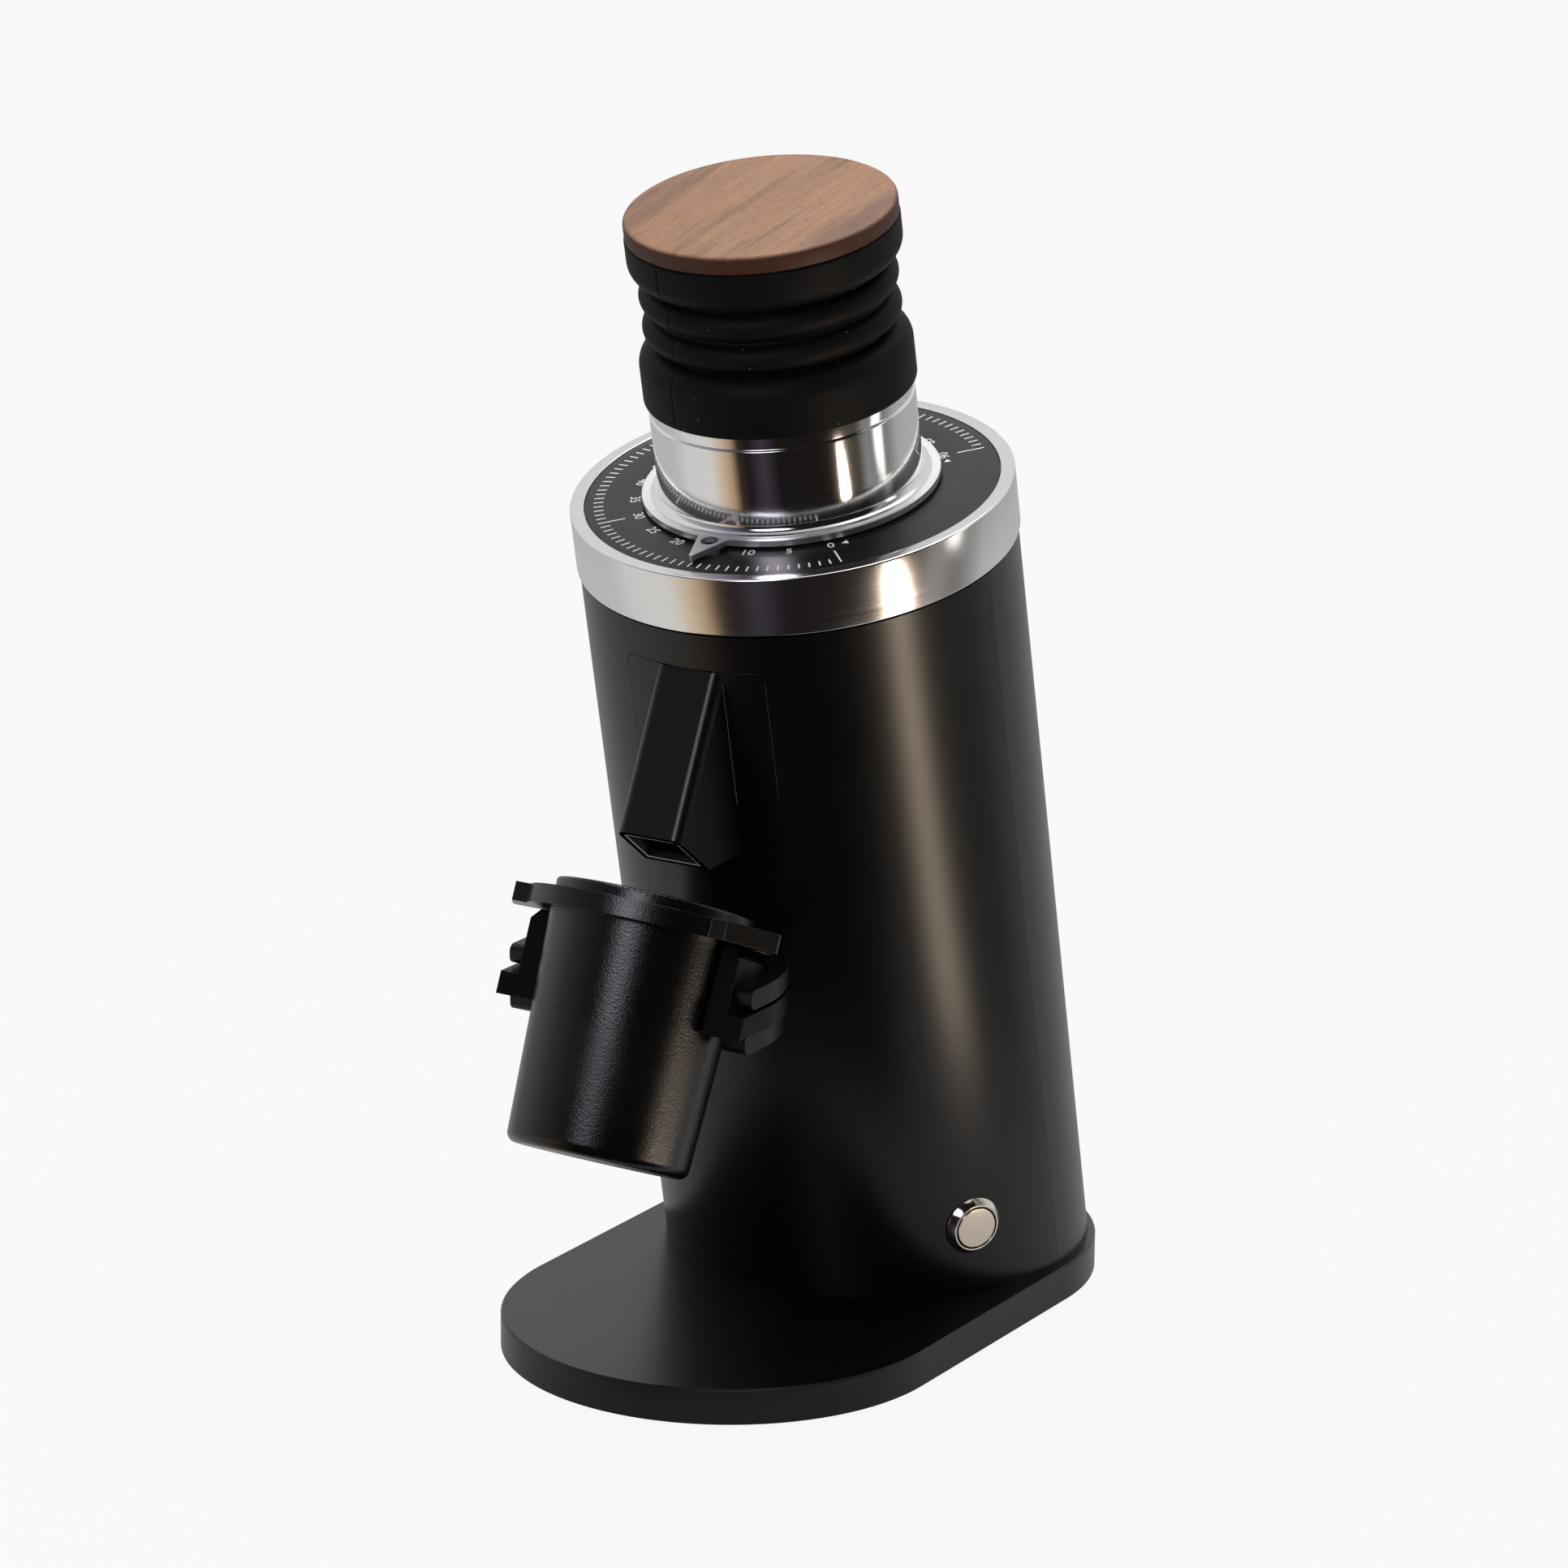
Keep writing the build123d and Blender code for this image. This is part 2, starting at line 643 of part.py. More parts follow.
# Bellows: a soft cuff on the neck, rounded folds and a top cuff that holds the lid
cuff_low = neck_top + seam_gap
root_drop = bellows_radius - fold_root_radius
first_root = cuff_low + cuff_height
folds = [(first_root + i * fold_pitch, first_root + (i + 1) * fold_pitch) for i in range(fold_count)]
last_root = folds[-1][1]
lid_low = last_root + top_cuff_height
slit = fold_slit / 2
cuff_inner = neck_spigot_radius + seam_gap
inner_root = fold_root_radius - bellows_wall
inner_slit = slit + bellows_wall / 2
with BuildPart() as bellows:
    with BuildSketch(section):
        with BuildLine():
            Line((cuff_inner, cuff_low), (bellows_radius - cuff_rounding, cuff_low))
            quarter_round(bellows_radius - cuff_rounding, cuff_low + cuff_rounding, cuff_rounding, -90)
            Line((bellows_radius, cuff_low + cuff_rounding), (bellows_radius, first_root - slit - root_drop))
            quarter_round(fold_root_radius, first_root - slit - root_drop, root_drop, 0)
            for low, high in folds:
                Line((fold_root_radius, low - slit), (fold_root_radius, low + slit))
                ThreePointArc((fold_root_radius, low + slit), (fold_radius, (low + high) / 2),
                              (fold_root_radius, high - slit))
            Line((fold_root_radius, last_root - slit), (fold_root_radius, last_root + slit))
            ThreePointArc((fold_root_radius, last_root + slit),
                          (fold_root_radius + 0.7 * root_drop, last_root + slit + 0.4 * top_cuff_rise),
                          (bellows_radius, last_root + slit + top_cuff_rise))
            Polyline((bellows_radius, last_root + slit + top_cuff_rise), (bellows_radius, lid_low),
                     (fold_root_radius, lid_low), (fold_root_radius, lid_low - lid_spigot_depth),
                     (inner_root, lid_low - lid_spigot_depth), (inner_root, last_root - inner_slit))
            for low, high in reversed(folds):
                ThreePointArc((inner_root, high - inner_slit), (fold_radius - bellows_wall, (low + high) / 2),
                              (inner_root, low + inner_slit))
                Line((inner_root, low + inner_slit), (inner_root, low - inner_slit))
            Polyline((inner_root, first_root - inner_slit), (cuff_inner, spigot_top + bellows_wall),
                     (cuff_inner, cuff_low))
        make_face()
    revolve(axis=body_axis)
bellows.part.label = "bellows"
export_step(bellows.part, "parts/bellows.step")

lid_seat = lid_low + seat_gap
with BuildPart() as wood_lid:
    ring(0, lid_radius, lid_seat, lid_low + lid_thickness)
    fillet(wood_lid.edges().filter_by(GeomType.CIRCLE), radius=lid_edge)
    ring(0, fold_root_radius - seam_gap, lid_seat - lid_spigot_depth, lid_low + lid_thickness / 2)
wood_lid.part.label = "wood_lid"
export_step(wood_lid.part, "parts/wood_lid.step")

# Motor plate on the housing's ledge, with the motor hung below it
motor_points = around(bearing_radius + 2 * m4_head_radius, 4, 45)
motor_seat = chamber_low - m4_head
chamber_points = around(chamber_circle, 4)
with BuildPart() as motor_plate:
    ring(shaft_radius + 2 * moving_gap, bore_radius - seat_gap, plate_low, chamber_low)
    ring(0, bearing_radius, plate_low, plate_low + bearing_width, Mode.SUBTRACT)
    pins(level, around(plate_screw_circle, 4), m3_radius, plate_low, chamber_low, Mode.SUBTRACT)
    pins(level, bolt_points, m4_radius, bolt_end, chamber_low, Mode.SUBTRACT)
    pins(level, motor_points, m4_radius, plate_low, motor_seat, Mode.SUBTRACT)
    pins(level, motor_points, m4_head_radius, motor_seat, chamber_low, Mode.SUBTRACT)
    pins(level, chamber_points, m3_radius, bolt_end, chamber_low, Mode.SUBTRACT)
motor_plate.part.label = "motor_plate"
export_step(motor_plate.part, "parts/motor_plate.step")

with BuildPart() as plate_screws:
    screws(around(plate_screw_circle, 4), m3_radius, m3_head_radius, m3_head, chamber_low,
           plate_thickness + ledge_thickness)
plate_screws.part.label = "plate_screws"
export_step(plate_screws.part, "parts/plate_screws.step")

can_floor = plate_low - motor_wall
can_inner = motor_radius - motor_wall
cap_top = motor_low + end_cap_thickness
with BuildPart() as motor_can:
    turn([(can_inner, cap_top), (motor_radius, cap_top), (motor_radius, plate_low),
          (bearing_radius, plate_low), (bearing_radius, can_floor), (can_inner, can_floor)])
    pins(level, motor_points, m4_radius, can_floor, plate_low, Mode.SUBTRACT)
motor_can.part.label = "motor_can"
export_step(motor_can.part, "parts/motor_can.step")

with BuildPart() as motor_screws:
    screws(motor_points, m4_radius, m4_head_radius, m4_head, motor_seat, motor_seat - can_floor)
motor_screws.part.label = "motor_screws"
export_step(motor_screws.part, "parts/motor_screws.step")

tail_bore = shaft_radius + 2 * moving_gap
lower_bearing_low = motor_low + 2
lower_bearing_top = lower_bearing_low + bearing_width
with BuildPart() as motor_end_cap:
    turn([(tail_bore, motor_low), (motor_radius, motor_low), (motor_radius, cap_top),
          (bearing_radius + motor_wall, cap_top), (bearing_radius + motor_wall, lower_bearing_top),
          (bearing_radius, lower_bearing_top), (bearing_radius, lower_bearing_low),
          (tail_bore, lower_bearing_low)])
motor_end_cap.part.label = "motor_end_cap"
export_step(motor_end_cap.part, "parts/motor_end_cap.step")

stator_inner = can_inner - stator_width
rotor_radius = stator_inner - air_gap
stator_middle = (cap_top + can_floor) / 2
stator_low = stator_middle - stator_length / 2
stator_top = stator_middle + stator_length / 2
with BuildPart() as motor_stator:
    ring(stator_inner, can_inner, stator_low, stator_top)
    spokes(stator_inner, stator_slots, stator_width, stator_width / 4, stator_low, stator_top,
           mode=Mode.SUBTRACT)
motor_stator.part.label = "motor_stator"
export_step(motor_stator.part, "parts/motor_stator.step")

winding_inner = stator_inner + stator_width / 6
winding_outer = can_inner - stator_width / 6
with BuildPart() as motor_windings:
    ring(winding_inner, winding_outer, stator_top, stator_top + winding_height)
    ring(winding_inner, winding_outer, stator_low - winding_height, stator_low)
motor_windings.part.label = "motor_windings"
export_step(motor_windings.part, "parts/motor_windings.step")

with BuildPart() as motor_rotor:
    ring(shaft_radius, rotor_radius, stator_low, stator_top)
motor_rotor.part.label = "motor_rotor"
export_step(motor_rotor.part, "parts/motor_rotor.step")

stub_low = lower_seat - lower_carrier_disc / 2
stub_top = lower_seat + nut_height + 1
with BuildPart() as motor_shaft:
    turn([(0, motor_low - shaft_tail), (shaft_radius, motor_low - shaft_tail), (shaft_radius, stub_low),
          (stub_radius, stub_low), (stub_radius, stub_top), (0, stub_top)])
motor_shaft.part.label = "motor_shaft"
export_step(motor_shaft.part, "parts/motor_shaft.step")

with BuildPart() as upper_bearing:
    ring(shaft_radius + bearing_gap, bearing_radius, plate_low, plate_low + bearing_width)
upper_bearing.part.label = "upper_bearing"
export_step(upper_bearing.part, "parts/upper_bearing.step")

with BuildPart() as lower_bearing:
    ring(shaft_radius + bearing_gap, bearing_radius, lower_bearing_low, lower_bearing_top)
lower_bearing.part.label = "lower_bearing"
export_step(lower_bearing.part, "parts/lower_bearing.step")

# Grinding chamber with a window to the chute, and keys that stop the upper carrier turning
chamber_seat = floor_top - m3_head
key_low = carrier_low - 2
with BuildPart() as grind_chamber:
    turn([(seal_radius, chamber_low), (chamber_radius, chamber_low), (chamber_radius, chamber_top),
          (chamber_bore, chamber_top), (chamber_bore, floor_top), (seal_radius, floor_top)])
    block(section, (0, duct_middle), 2 * duct_half, duct_height, chamber_bore / 2, chamber_radius + 1,
          mode=Mode.SUBTRACT)
    pins(level, chamber_points, m3_radius, chamber_low, chamber_seat, Mode.SUBTRACT)
    pins(level, chamber_points, m3_head_radius, chamber_seat, floor_top, Mode.SUBTRACT)
    spokes(chamber_bore, 3, 2 * key_seat, key_width, key_low, chamber_top, start=90, mode=Mode.SUBTRACT)
grind_chamber.part.label = "grind_chamber"
export_step(grind_chamber.part, "parts/grind_chamber.step")

with BuildPart() as chamber_screws:
    screws(chamber_points, m3_radius, m3_head_radius, m3_head, chamber_seat, chamber_seat - bolt_end)
chamber_screws.part.label = "chamber_screws"
export_step(chamber_screws.part, "parts/chamber_screws.step")

with BuildPart() as shaft_seal:
    ring(shaft_radius + bearing_gap, seal_radius, chamber_low, floor_top)
shaft_seal.part.label = "shaft_seal"
export_step(shaft_seal.part, "parts/shaft_seal.step")

key_length = key_seat + key_depth
with BuildPart() as carrier_keys:
    spokes(chamber_bore + key_seat - key_length / 2, 3, key_length, key_width, key_low, chamber_top, start=90)
carrier_keys.part.label = "carrier_keys"
export_step(carrier_keys.part, "parts/carrier_keys.step")

# Lower burr, its turning carrier with sweepers, and the nut on the shaft
pilot_radius = burr_bore - bearing_gap
screw_room = burr_thickness / 2
lower_head_seat = lower_seat + screw_room
lower_screw_points = around(burr_screw_circle, 3, 60)
with BuildPart() as lower_burr_carrier:
    turn([(shaft_radius, hub_low), (hub_radius, hub_low), (hub_radius, disc_low),
          (lower_carrier_radius, disc_low), (lower_carrier_radius, lower_seat),
          (pilot_radius, lower_seat), (pilot_radius, lower_seat + 2),
          (pilot_radius - 3, lower_seat + 2), (pilot_radius - 3, lower_seat), (stub_radius, lower_seat),
          (stub_radius, stub_low), (shaft_radius, stub_low)])
    spokes(lower_carrier_radius + sweeper_length / 2 - 1, 3, sweeper_length + 2, sweeper_width,
           disc_low - sweeper_drop, lower_seat - 1)
    pins(level, lower_screw_points, m4_radius, disc_low, lower_seat, Mode.SUBTRACT)
lower_burr_carrier.part.label = "lower_burr_carrier"
export_step(lower_burr_carrier.part, "parts/lower_burr_carrier.step")

groove_circle = (burr_bore + burr_radius) / 2
groove_length = burr_radius - burr_bore + 4
with BuildPart() as lower_burr:
    turn([(burr_bore, lower_seat), (burr_radius, lower_seat), (burr_radius, burr_plane),
          (groove_circle - 1, burr_plane), (burr_bore, burr_plane - 2 * tooth_depth)])
    spokes(groove_circle, burr_teeth, groove_length, tooth_width, burr_plane - tooth_depth, burr_plane,
           skew=tooth_skew, mode=Mode.SUBTRACT)
    pins(level, lower_screw_points, m4_radius, lower_seat, lower_head_seat, Mode.SUBTRACT)
    pins(level, lower_screw_points, m4_head_radius, lower_head_seat, burr_plane, Mode.SUBTRACT)
lower_burr.part.label = "lower_burr"
export_step(lower_burr.part, "parts/lower_burr.step")

with BuildPart() as lower_burr_screws:
    screws(lower_screw_points, m4_radius, m4_head_radius, burr_head, lower_head_seat,
           screw_room + lower_carrier_disc)
lower_burr_screws.part.label = "lower_burr_screws"
export_step(lower_burr_screws.part, "parts/lower_burr_screws.step")

with BuildPart() as carrier_nut:
    with BuildSketch(level.offset(lower_seat)):
        RegularPolygon(nut_radius, 6)
        Circle(stub_radius, mode=Mode.SUBTRACT)
    extrude(amount=nut_height)
carrier_nut.part.label = "carrier_nut"
export_step(carrier_nut.part, "parts/carrier_nut.step")

# Upper burr and its carrier, which climbs in the neck's thread without turning
upper_face = burr_plane + burr_gap
carrier_thread = thread_radius - thread_gap
rim_inner = burr_radius + seat_gap
notch_floor = chamber_bore - key_depth - moving_gap
upper_head_seat = upper_seat - screw_room
upper_screw_end = upper_seat + screw_engagement - 1
upper_screw_points = around(burr_screw_circle, 3)
with BuildPart() as upper_burr_carrier:
    turn([(rim_inner, upper_seat - carrier_rim), (rim_inner + carrier_rim, upper_seat - carrier_rim),
          (rim_inner + carrier_rim, carrier_low), (carrier_flange_radius, carrier_low),
          (carrier_flange_radius, carrier_step), (carrier_thread, carrier_step),
          (carrier_thread, carrier_top), (throat_radius, carrier_top), (burr_bore, carrier_low),
          (burr_bore, upper_seat), (rim_inner, upper_seat)])
    spokes(notch_floor + carrier_flange_radius / 2, 3, carrier_flange_radius, key_width + 2 * moving_gap,
           carrier_low, carrier_step, start=90, mode=Mode.SUBTRACT)
    pins(level, upper_screw_points, m4_radius, upper_seat, upper_screw_end, Mode.SUBTRACT)
upper_burr_carrier.part.label = "upper_burr_carrier"
export_step(upper_burr_carrier.part, "parts/upper_burr_carrier.step")

with BuildPart() as upper_burr:
    turn([(burr_bore, upper_seat), (burr_radius, upper_seat), (burr_radius, upper_face),
          (groove_circle - 1, upper_face), (burr_bore, upper_face + 2 * tooth_depth)])
    spokes(groove_circle, burr_teeth, groove_length, tooth_width, upper_face, upper_face + tooth_depth,
           skew=-tooth_skew, mode=Mode.SUBTRACT)
    pins(level, upper_screw_points, m4_radius, upper_head_seat, upper_seat, Mode.SUBTRACT)
    pins(level, upper_screw_points, m4_head_radius, upper_face, upper_head_seat, Mode.SUBTRACT)
upper_burr.part.label = "upper_burr"
export_step(upper_burr.part, "parts/upper_burr.step")

with BuildPart() as upper_burr_screws:
    screws(upper_screw_points, m4_radius, m4_head_radius, burr_head, upper_head_seat,
           upper_screw_end - upper_head_seat, up=-1)
upper_burr_screws.part.label = "upper_burr_screws"
export_step(upper_burr_screws.part, "parts/upper_burr_screws.step")

# Chute: a flush plate with a wedge-shaped spout in front and a duct to the chamber behind
lip_inside = lip + mouth_run * spout_wall
tip_inside = tip - mouth_run * spout_wall
roof_inside = lip_inside - roof_run * ((duct_top - lip_inside.Y) / -roof_run.Y)
lip_outside = lip_inside + mouth_out * spout_wall
tip_outside = tip_inside + mouth_out * spout_wall
floor_inside = (body_radius - spout_wall, duct_low)


def spout_hollow(mode):
    """The way for the grounds, from the chamber's window down and out of the spout's mouth."""
    with BuildSketch(side) as outline:
        with BuildLine():
            Polyline((chamber_bore, duct_top), (roof_inside.X, roof_inside.Y),
                     (lip_inside.X, lip_inside.Y), (lip_outside.X, lip_outside.Y),
                     (tip_outside.X, tip_outside.Y), (tip_inside.X, tip_inside.Y),
                     floor_inside, (chamber_bore, duct_low), close=True)
        make_face()
    extrude(outline.sketch, amount=duct_half, both=True, mode=mode)


roof_way = forward * roof_run.X + axis_up * roof_run.Y
mouth_middle = (lip + tip) * 0.5
mouth_centre = axis_foot + forward * mouth_middle.X + axis_up * mouth_middle.Y
mouth_normal = forward * mouth_out.X + axis_up * mouth_out.Y
mouth = Plane(origin=mouth_centre, x_dir=(1, 0, 0), z_dir=mouth_normal)
liner_width = 2 * (duct_half + liner_wall)
liner_tall = (tip - lip).length - 2 * (spout_wall - liner_wall)
plate_inner = body_radius - plate_depth
stud_end = sqrt(plate_inner ** 2 - (plate_width / 2 - stud_inset - stud_radius) ** 2) + seam_gap
with BuildPart() as chute_plate:
    ring(plate_inner, body_radius, plate_top - 2 * plate_height, body_height)
    block(section, (0, plate_middle), plate_width, plate_height, 0, 2 * body_radius, plate_corner,
          Mode.INTERSECT)

with BuildPart() as chute:
    with BuildSketch(side):
        with BuildLine():
            Polyline((plate_inner, plate_top), (roof_start.X, roof_start.Y), (lip.X, lip.Y), (tip.X, tip.Y),
                     (heel.X, heel.Y), (plate_inner, heel.Y), close=True)
        make_face()
    extrude(amount=spout_width / 2, both=True)
    roof_edges = chute.edges().filter_by(lambda edge: abs(edge.tangent_at(0.5).dot(roof_way)) > 0.999)
    fillet(roof_edges, radius=spout_rounding)
    ring(0, body_radius + seam_gap, heel.Y - plate_height, plate_top - plate_height, Mode.SUBTRACT)
    add(chute_plate.part)
    block(section, (0, duct_middle), spout_width, duct_height + 2 * spout_wall, chamber_bore / 2,
          plate_inner + 1)
    ring(0, chamber_radius + seat_gap, duct_low - plate_height, body_height, Mode.SUBTRACT)
    spout_hollow(Mode.SUBTRACT)
    block(mouth, (0, 0), liner_width, liner_tall, -liner_depth, 1, mode=Mode.SUBTRACT)
    pins(section, stud_points, stud_radius, bore_radius - stud_length, stud_end)
chute.part.label = "chute"
export_step(chute.part, "parts/chute.step")

with BuildPart() as chute_liner:
    block(mouth, (0, 0), liner_width, liner_tall, -liner_depth, 0)
    block(mouth, (0, 0), liner_width - 2 * liner_wall, liner_tall - 2 * liner_wall, -liner_depth, 0,
          mode=Mode.SUBTRACT)
chute_liner.part.label = "chute_liner"
export_step(chute_liner.part, "parts/chute_liner.step")

nut_edge = plate_width / 2 - stud_inset + chute_nut_radius
nut_seat = sqrt(bore_radius ** 2 - nut_edge ** 2)
with BuildPart() as chute_nuts:
    with BuildSketch(section.offset(nut_seat - chute_nut_height)):
        with Locations(*stud_points):
            RegularPolygon(chute_nut_radius, 6)
            Circle(stud_radius, mode=Mode.SUBTRACT)
    extrude(amount=chute_nut_height)
chute_nuts.part.label = "chute_nuts"
export_step(chute_nuts.part, "parts/chute_nuts.step")

# Fork: a U-shaped bracket, level in the world, that carries the cup's flange on its sloping top
front_cut = Plane(origin=cup_seat + cup_out * fork_reach, x_dir=(1, 0, 0), z_dir=cup_out)
slot_radius = cup_top_radius + cup_clearance
cup_taper = degrees(atan((cup_top_radius - cup_bottom_radius) / cup_depth))
fork_high = cup_seat.Z + flange_radius


def u_shape(half_width, low, high, mode=Mode.ADD):
    """A U open to the front: a half round behind the cup with straight arms beside it."""
    with BuildSketch(Plane.XY.offset(low)) as outline:
        with Locations((0, fork_middle)):
            Circle(half_width)
        with Locations((0, fork_middle - flange_radius)):
            Rectangle(2 * half_width, 2 * flange_radius)
    extrude(outline.sketch, amount=high - low, mode=mode)


with BuildPart() as fork:
    u_shape(fork_half_width, rail_low, fork_high)
    split(bisect_by=cup_level.offset(-seat_gap), keep=Keep.BOTTOM)
    seat_edges = fork.edges().filter_by(
        lambda edge: abs((edge.center() - cup_seat).dot(cup_up) + seat_gap) < 0.01)
    side_edges = seat_edges.filter_by(lambda edge: abs(abs(edge.center().X) - fork_half_width) < 0.01)
    chamfer(side_edges, length=fork_chamfer)
    u_shape(rail_half_width, rail_low, rail_top)
    split(bisect_by=front_cut, keep=Keep.BOTTOM)
    block(Plane.XY, (0, fork_middle + rail_half_width), pad_width, rail_half_width, pad_low, rail_top)
    with BuildSketch(cup_level):
        Circle(slot_radius)
        with Locations((0, -flange_radius)):
            Rectangle(2 * slot_radius, 2 * flange_radius)
    extrude(amount=-cup_depth, taper=cup_taper, mode=Mode.SUBTRACT)
    ring(0, body_radius + seat_gap, 0, body_height, Mode.SUBTRACT)
    pins(section, fork_screw_points, m4_radius, 0, body_radius + screw_engagement, Mode.SUBTRACT)
fork.part.label = "fork"
export_step(fork.part, "parts/fork.step")

# Rubber grips above and below the fork's rails
grip_half_width = rail_half_width - seam_gap
grip_back = fork_middle + fork_half_width * sin(radians(grip_wrap))


def grip_pair(outer, inner, low, high, front):
    """Two bars beside the fork, one on each arm, rounded at the front."""
    u_shape(outer, low, high)
    u_shape(inner, low, high, Mode.SUBTRACT)
    block(Plane.XY, (0, grip_back + rail_half_width), 4 * rail_half_width, 2 * rail_half_width,
          low, high, mode=Mode.SUBTRACT)
    block(Plane.XY, (0, front - 2 * flange_radius), 4 * rail_half_width, 4 * flange_radius,
          low, high, mode=Mode.SUBTRACT)


def front_of_fork(height):
    """How far forward the fork's front face is at a height above the table."""
    return cup_seat.Y - (fork_reach - sin(pour) * (height - cup_seat.Z)) / cos(pour)


with BuildPart() as upper_grips:
    grip_pair(grip_half_width, fork_half_width, rail_top + upper_grip_gap, rail_top + upper_grip_height,
              front_of_fork(rail_top) + grip_setback)
    fillet(upper_grips.edges().filter_by(Axis.X).group_by(Axis.Y)[0], radius=grip_rounding)

with BuildPart() as fork_grips:
    grip_pair(grip_half_width - lower_grip_inset, grip_half_width - lower_grip_width,
              rail_low - grip_height, rail_low, front_of_fork(rail_low) + grip_setback + lower_grip_inset)
    fillet(fork_grips.edges().filter_by(Axis.X).group_by(Axis.Y)[0], radius=grip_rounding)
    add(upper_grips.part)
fork_grips.part.label = "fork_grips"
export_step(fork_grips.part, "parts/fork_grips.step")

screw_head_seat = sqrt(bore_radius ** 2 - (fork_screw_spread / 2 + m4_head_radius) ** 2)
with BuildPart() as fork_screws:
    pins(section, fork_screw_points, m4_radius, screw_head_seat, body_radius + screw_engagement)
    pins(section, fork_screw_points, m4_head_radius, screw_head_seat - m4_head, screw_head_seat)
fork_screws.part.label = "fork_screws"
export_step(fork_screws.part, "parts/fork_screws.step")

# Dosing cup: a tapered cup with a lip, a flange and two ears
inner_top = cup_top_radius - cup_wall
inner_bottom = cup_bottom_radius - cup_wall
lip_top = flange_thickness + cup_lip
with BuildPart() as dosing_cup:
    turn([(0, -cup_depth), (cup_bottom_radius, -cup_depth), (cup_top_radius, 0), (flange_radius, 0),
          (flange_radius, flange_thickness), (cup_top_radius, flange_thickness), (cup_top_radius, lip_top),
          (0, lip_top)], cup_section, cup_axis)
    with BuildSketch(cup_level):
        with BuildLine():
            Polyline((-ear_reach, -ear_back), (ear_reach, -ear_back), (ear_reach, -ear_tip),
                     (flange_radius, -ear_front), (-flange_radius, -ear_front), (-ear_reach, -ear_tip),
                     close=True)
        make_face()
    extrude(amount=flange_thickness)
    fillet(dosing_cup.edges().filter_by(GeomType.CIRCLE).sort_by(cup_axis)[0], radius=cup_rounding)
    turn([(0, cup_floor - cup_depth), (inner_bottom - cup_rounding, cup_floor - cup_depth),
          (inner_bottom, cup_floor - cup_depth + cup_rounding), (inner_top, lip_top + 1), (0, lip_top + 1)],
         cup_section, cup_axis, Mode.SUBTRACT)
    fillet(dosing_cup.edges().filter_by(GeomType.CIRCLE).group_by(cup_axis)[-1], radius=cup_lip_rounding)
dosing_cup.part.label = "dosing_cup"
export_step(dosing_cup.part, "parts/dosing_cup.step")

# Push button: bezel with its barrel, cap, switch, seal and nut
cap_bore = cap_radius + button_gap
bezel_top = seal_thickness + bezel_height
cap_face = bezel_top + cap_rise
cap_low = cap_face - cap_length
with BuildPart() as button_bezel:
    turn([(cap_bore, -barrel_length), (barrel_radius, -barrel_length), (barrel_radius, seal_thickness),
          (bezel_radius, seal_thickness), (bezel_radius, bezel_top - bezel_bevel),
          (cap_bore + bezel_land, bezel_top), (cap_bore, bezel_top)], button_section, button_axis)
button_bezel.part.label = "button_bezel"
export_step(button_bezel.part, "parts/button_bezel.step")

with BuildPart() as button_cap:
    turn([(0, cap_low), (cap_radius, cap_low), (cap_radius, cap_face - cap_edge),
          (cap_radius - cap_edge, cap_face), (0, cap_face)], button_section, button_axis)
button_cap.part.label = "button_cap"
export_step(button_cap.part, "parts/button_cap.step")

with BuildPart() as button_switch:
    pins(button_face, [(0, 0)], cap_bore, -barrel_length, cap_low - switch_gap)
    pins(button_face, [(-switch_pitch, 0), (switch_pitch, 0)], switch_pin, -barrel_length - switch_pitch,
         -barrel_length)
button_switch.part.label = "button_switch"
export_step(button_switch.part, "parts/button_switch.step")

with BuildPart() as button_seal:
    turn([(barrel_radius, 0), (bezel_radius - seam_gap, 0), (bezel_radius - seam_gap, seal_thickness),
          (barrel_radius, seal_thickness)], button_section, button_axis)
button_seal.part.label = "button_seal"
export_step(button_seal.part, "parts/button_seal.step")

nut_top = sqrt(bore_radius ** 2 - button_nut_radius ** 2) - spot_distance
with BuildPart() as button_nut:
    with BuildSketch(button_face.offset(nut_top - button_nut_height)):
        RegularPolygon(button_nut_radius, 6)
        Circle(barrel_radius, mode=Mode.SUBTRACT)
    extrude(amount=button_nut_height)
button_nut.part.label = "button_nut"
export_step(button_nut.part, "parts/button_nut.step")

# Power inlet on the back, with three flat pins in its socket
socket_low = inlet_flange_thickness - socket_depth
socket_width = inlet_width - 2 * socket_wall
socket_tall = inlet_tall - 2 * socket_wall
pin_points = [(-pin_pitch, -earth_rise / 2), (pin_pitch, -earth_rise / 2), (0, earth_rise / 2)]
with BuildPart() as power_inlet:
    block(inlet_face, (0, 0), flange_width, flange_tall, 0, inlet_flange_thickness, inlet_corner)
    block(inlet_face, (0, 0), inlet_width, inlet_tall, -inlet_depth, 0, inlet_corner)
    block(inlet_face, (0, 0), socket_width, socket_tall, socket_low, inlet_flange_thickness, inlet_corner,
          Mode.SUBTRACT)
power_inlet.part.label = "power_inlet"
export_step(power_inlet.part, "parts/power_inlet.step")

with BuildPart() as inlet_pins:
    with BuildSketch(inlet_face.offset(socket_low)):
        with Locations(*pin_points):
            Rectangle(pin_thickness, pin_width)
    extrude(amount=pin_length)
inlet_pins.part.label = "inlet_pins"
export_step(inlet_pins.part, "parts/inlet_pins.step")
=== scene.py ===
# %% [markdown]
# A compact coffee grinder in a white studio. Its solids are loaded as a fixed frame, which is never
# moved. This script gives every surface its finish, and models anew the pieces that need a finer shape
# than the solids have: the turned metal rings, the dial's marks, the soft bellows, the lid, the lip of
# the spout and the button.

# %% Load the frame
import bmesh
import bpy
import json
from math import atan2, cos, degrees, pi, radians, sin
from mathutils import Matrix, Vector


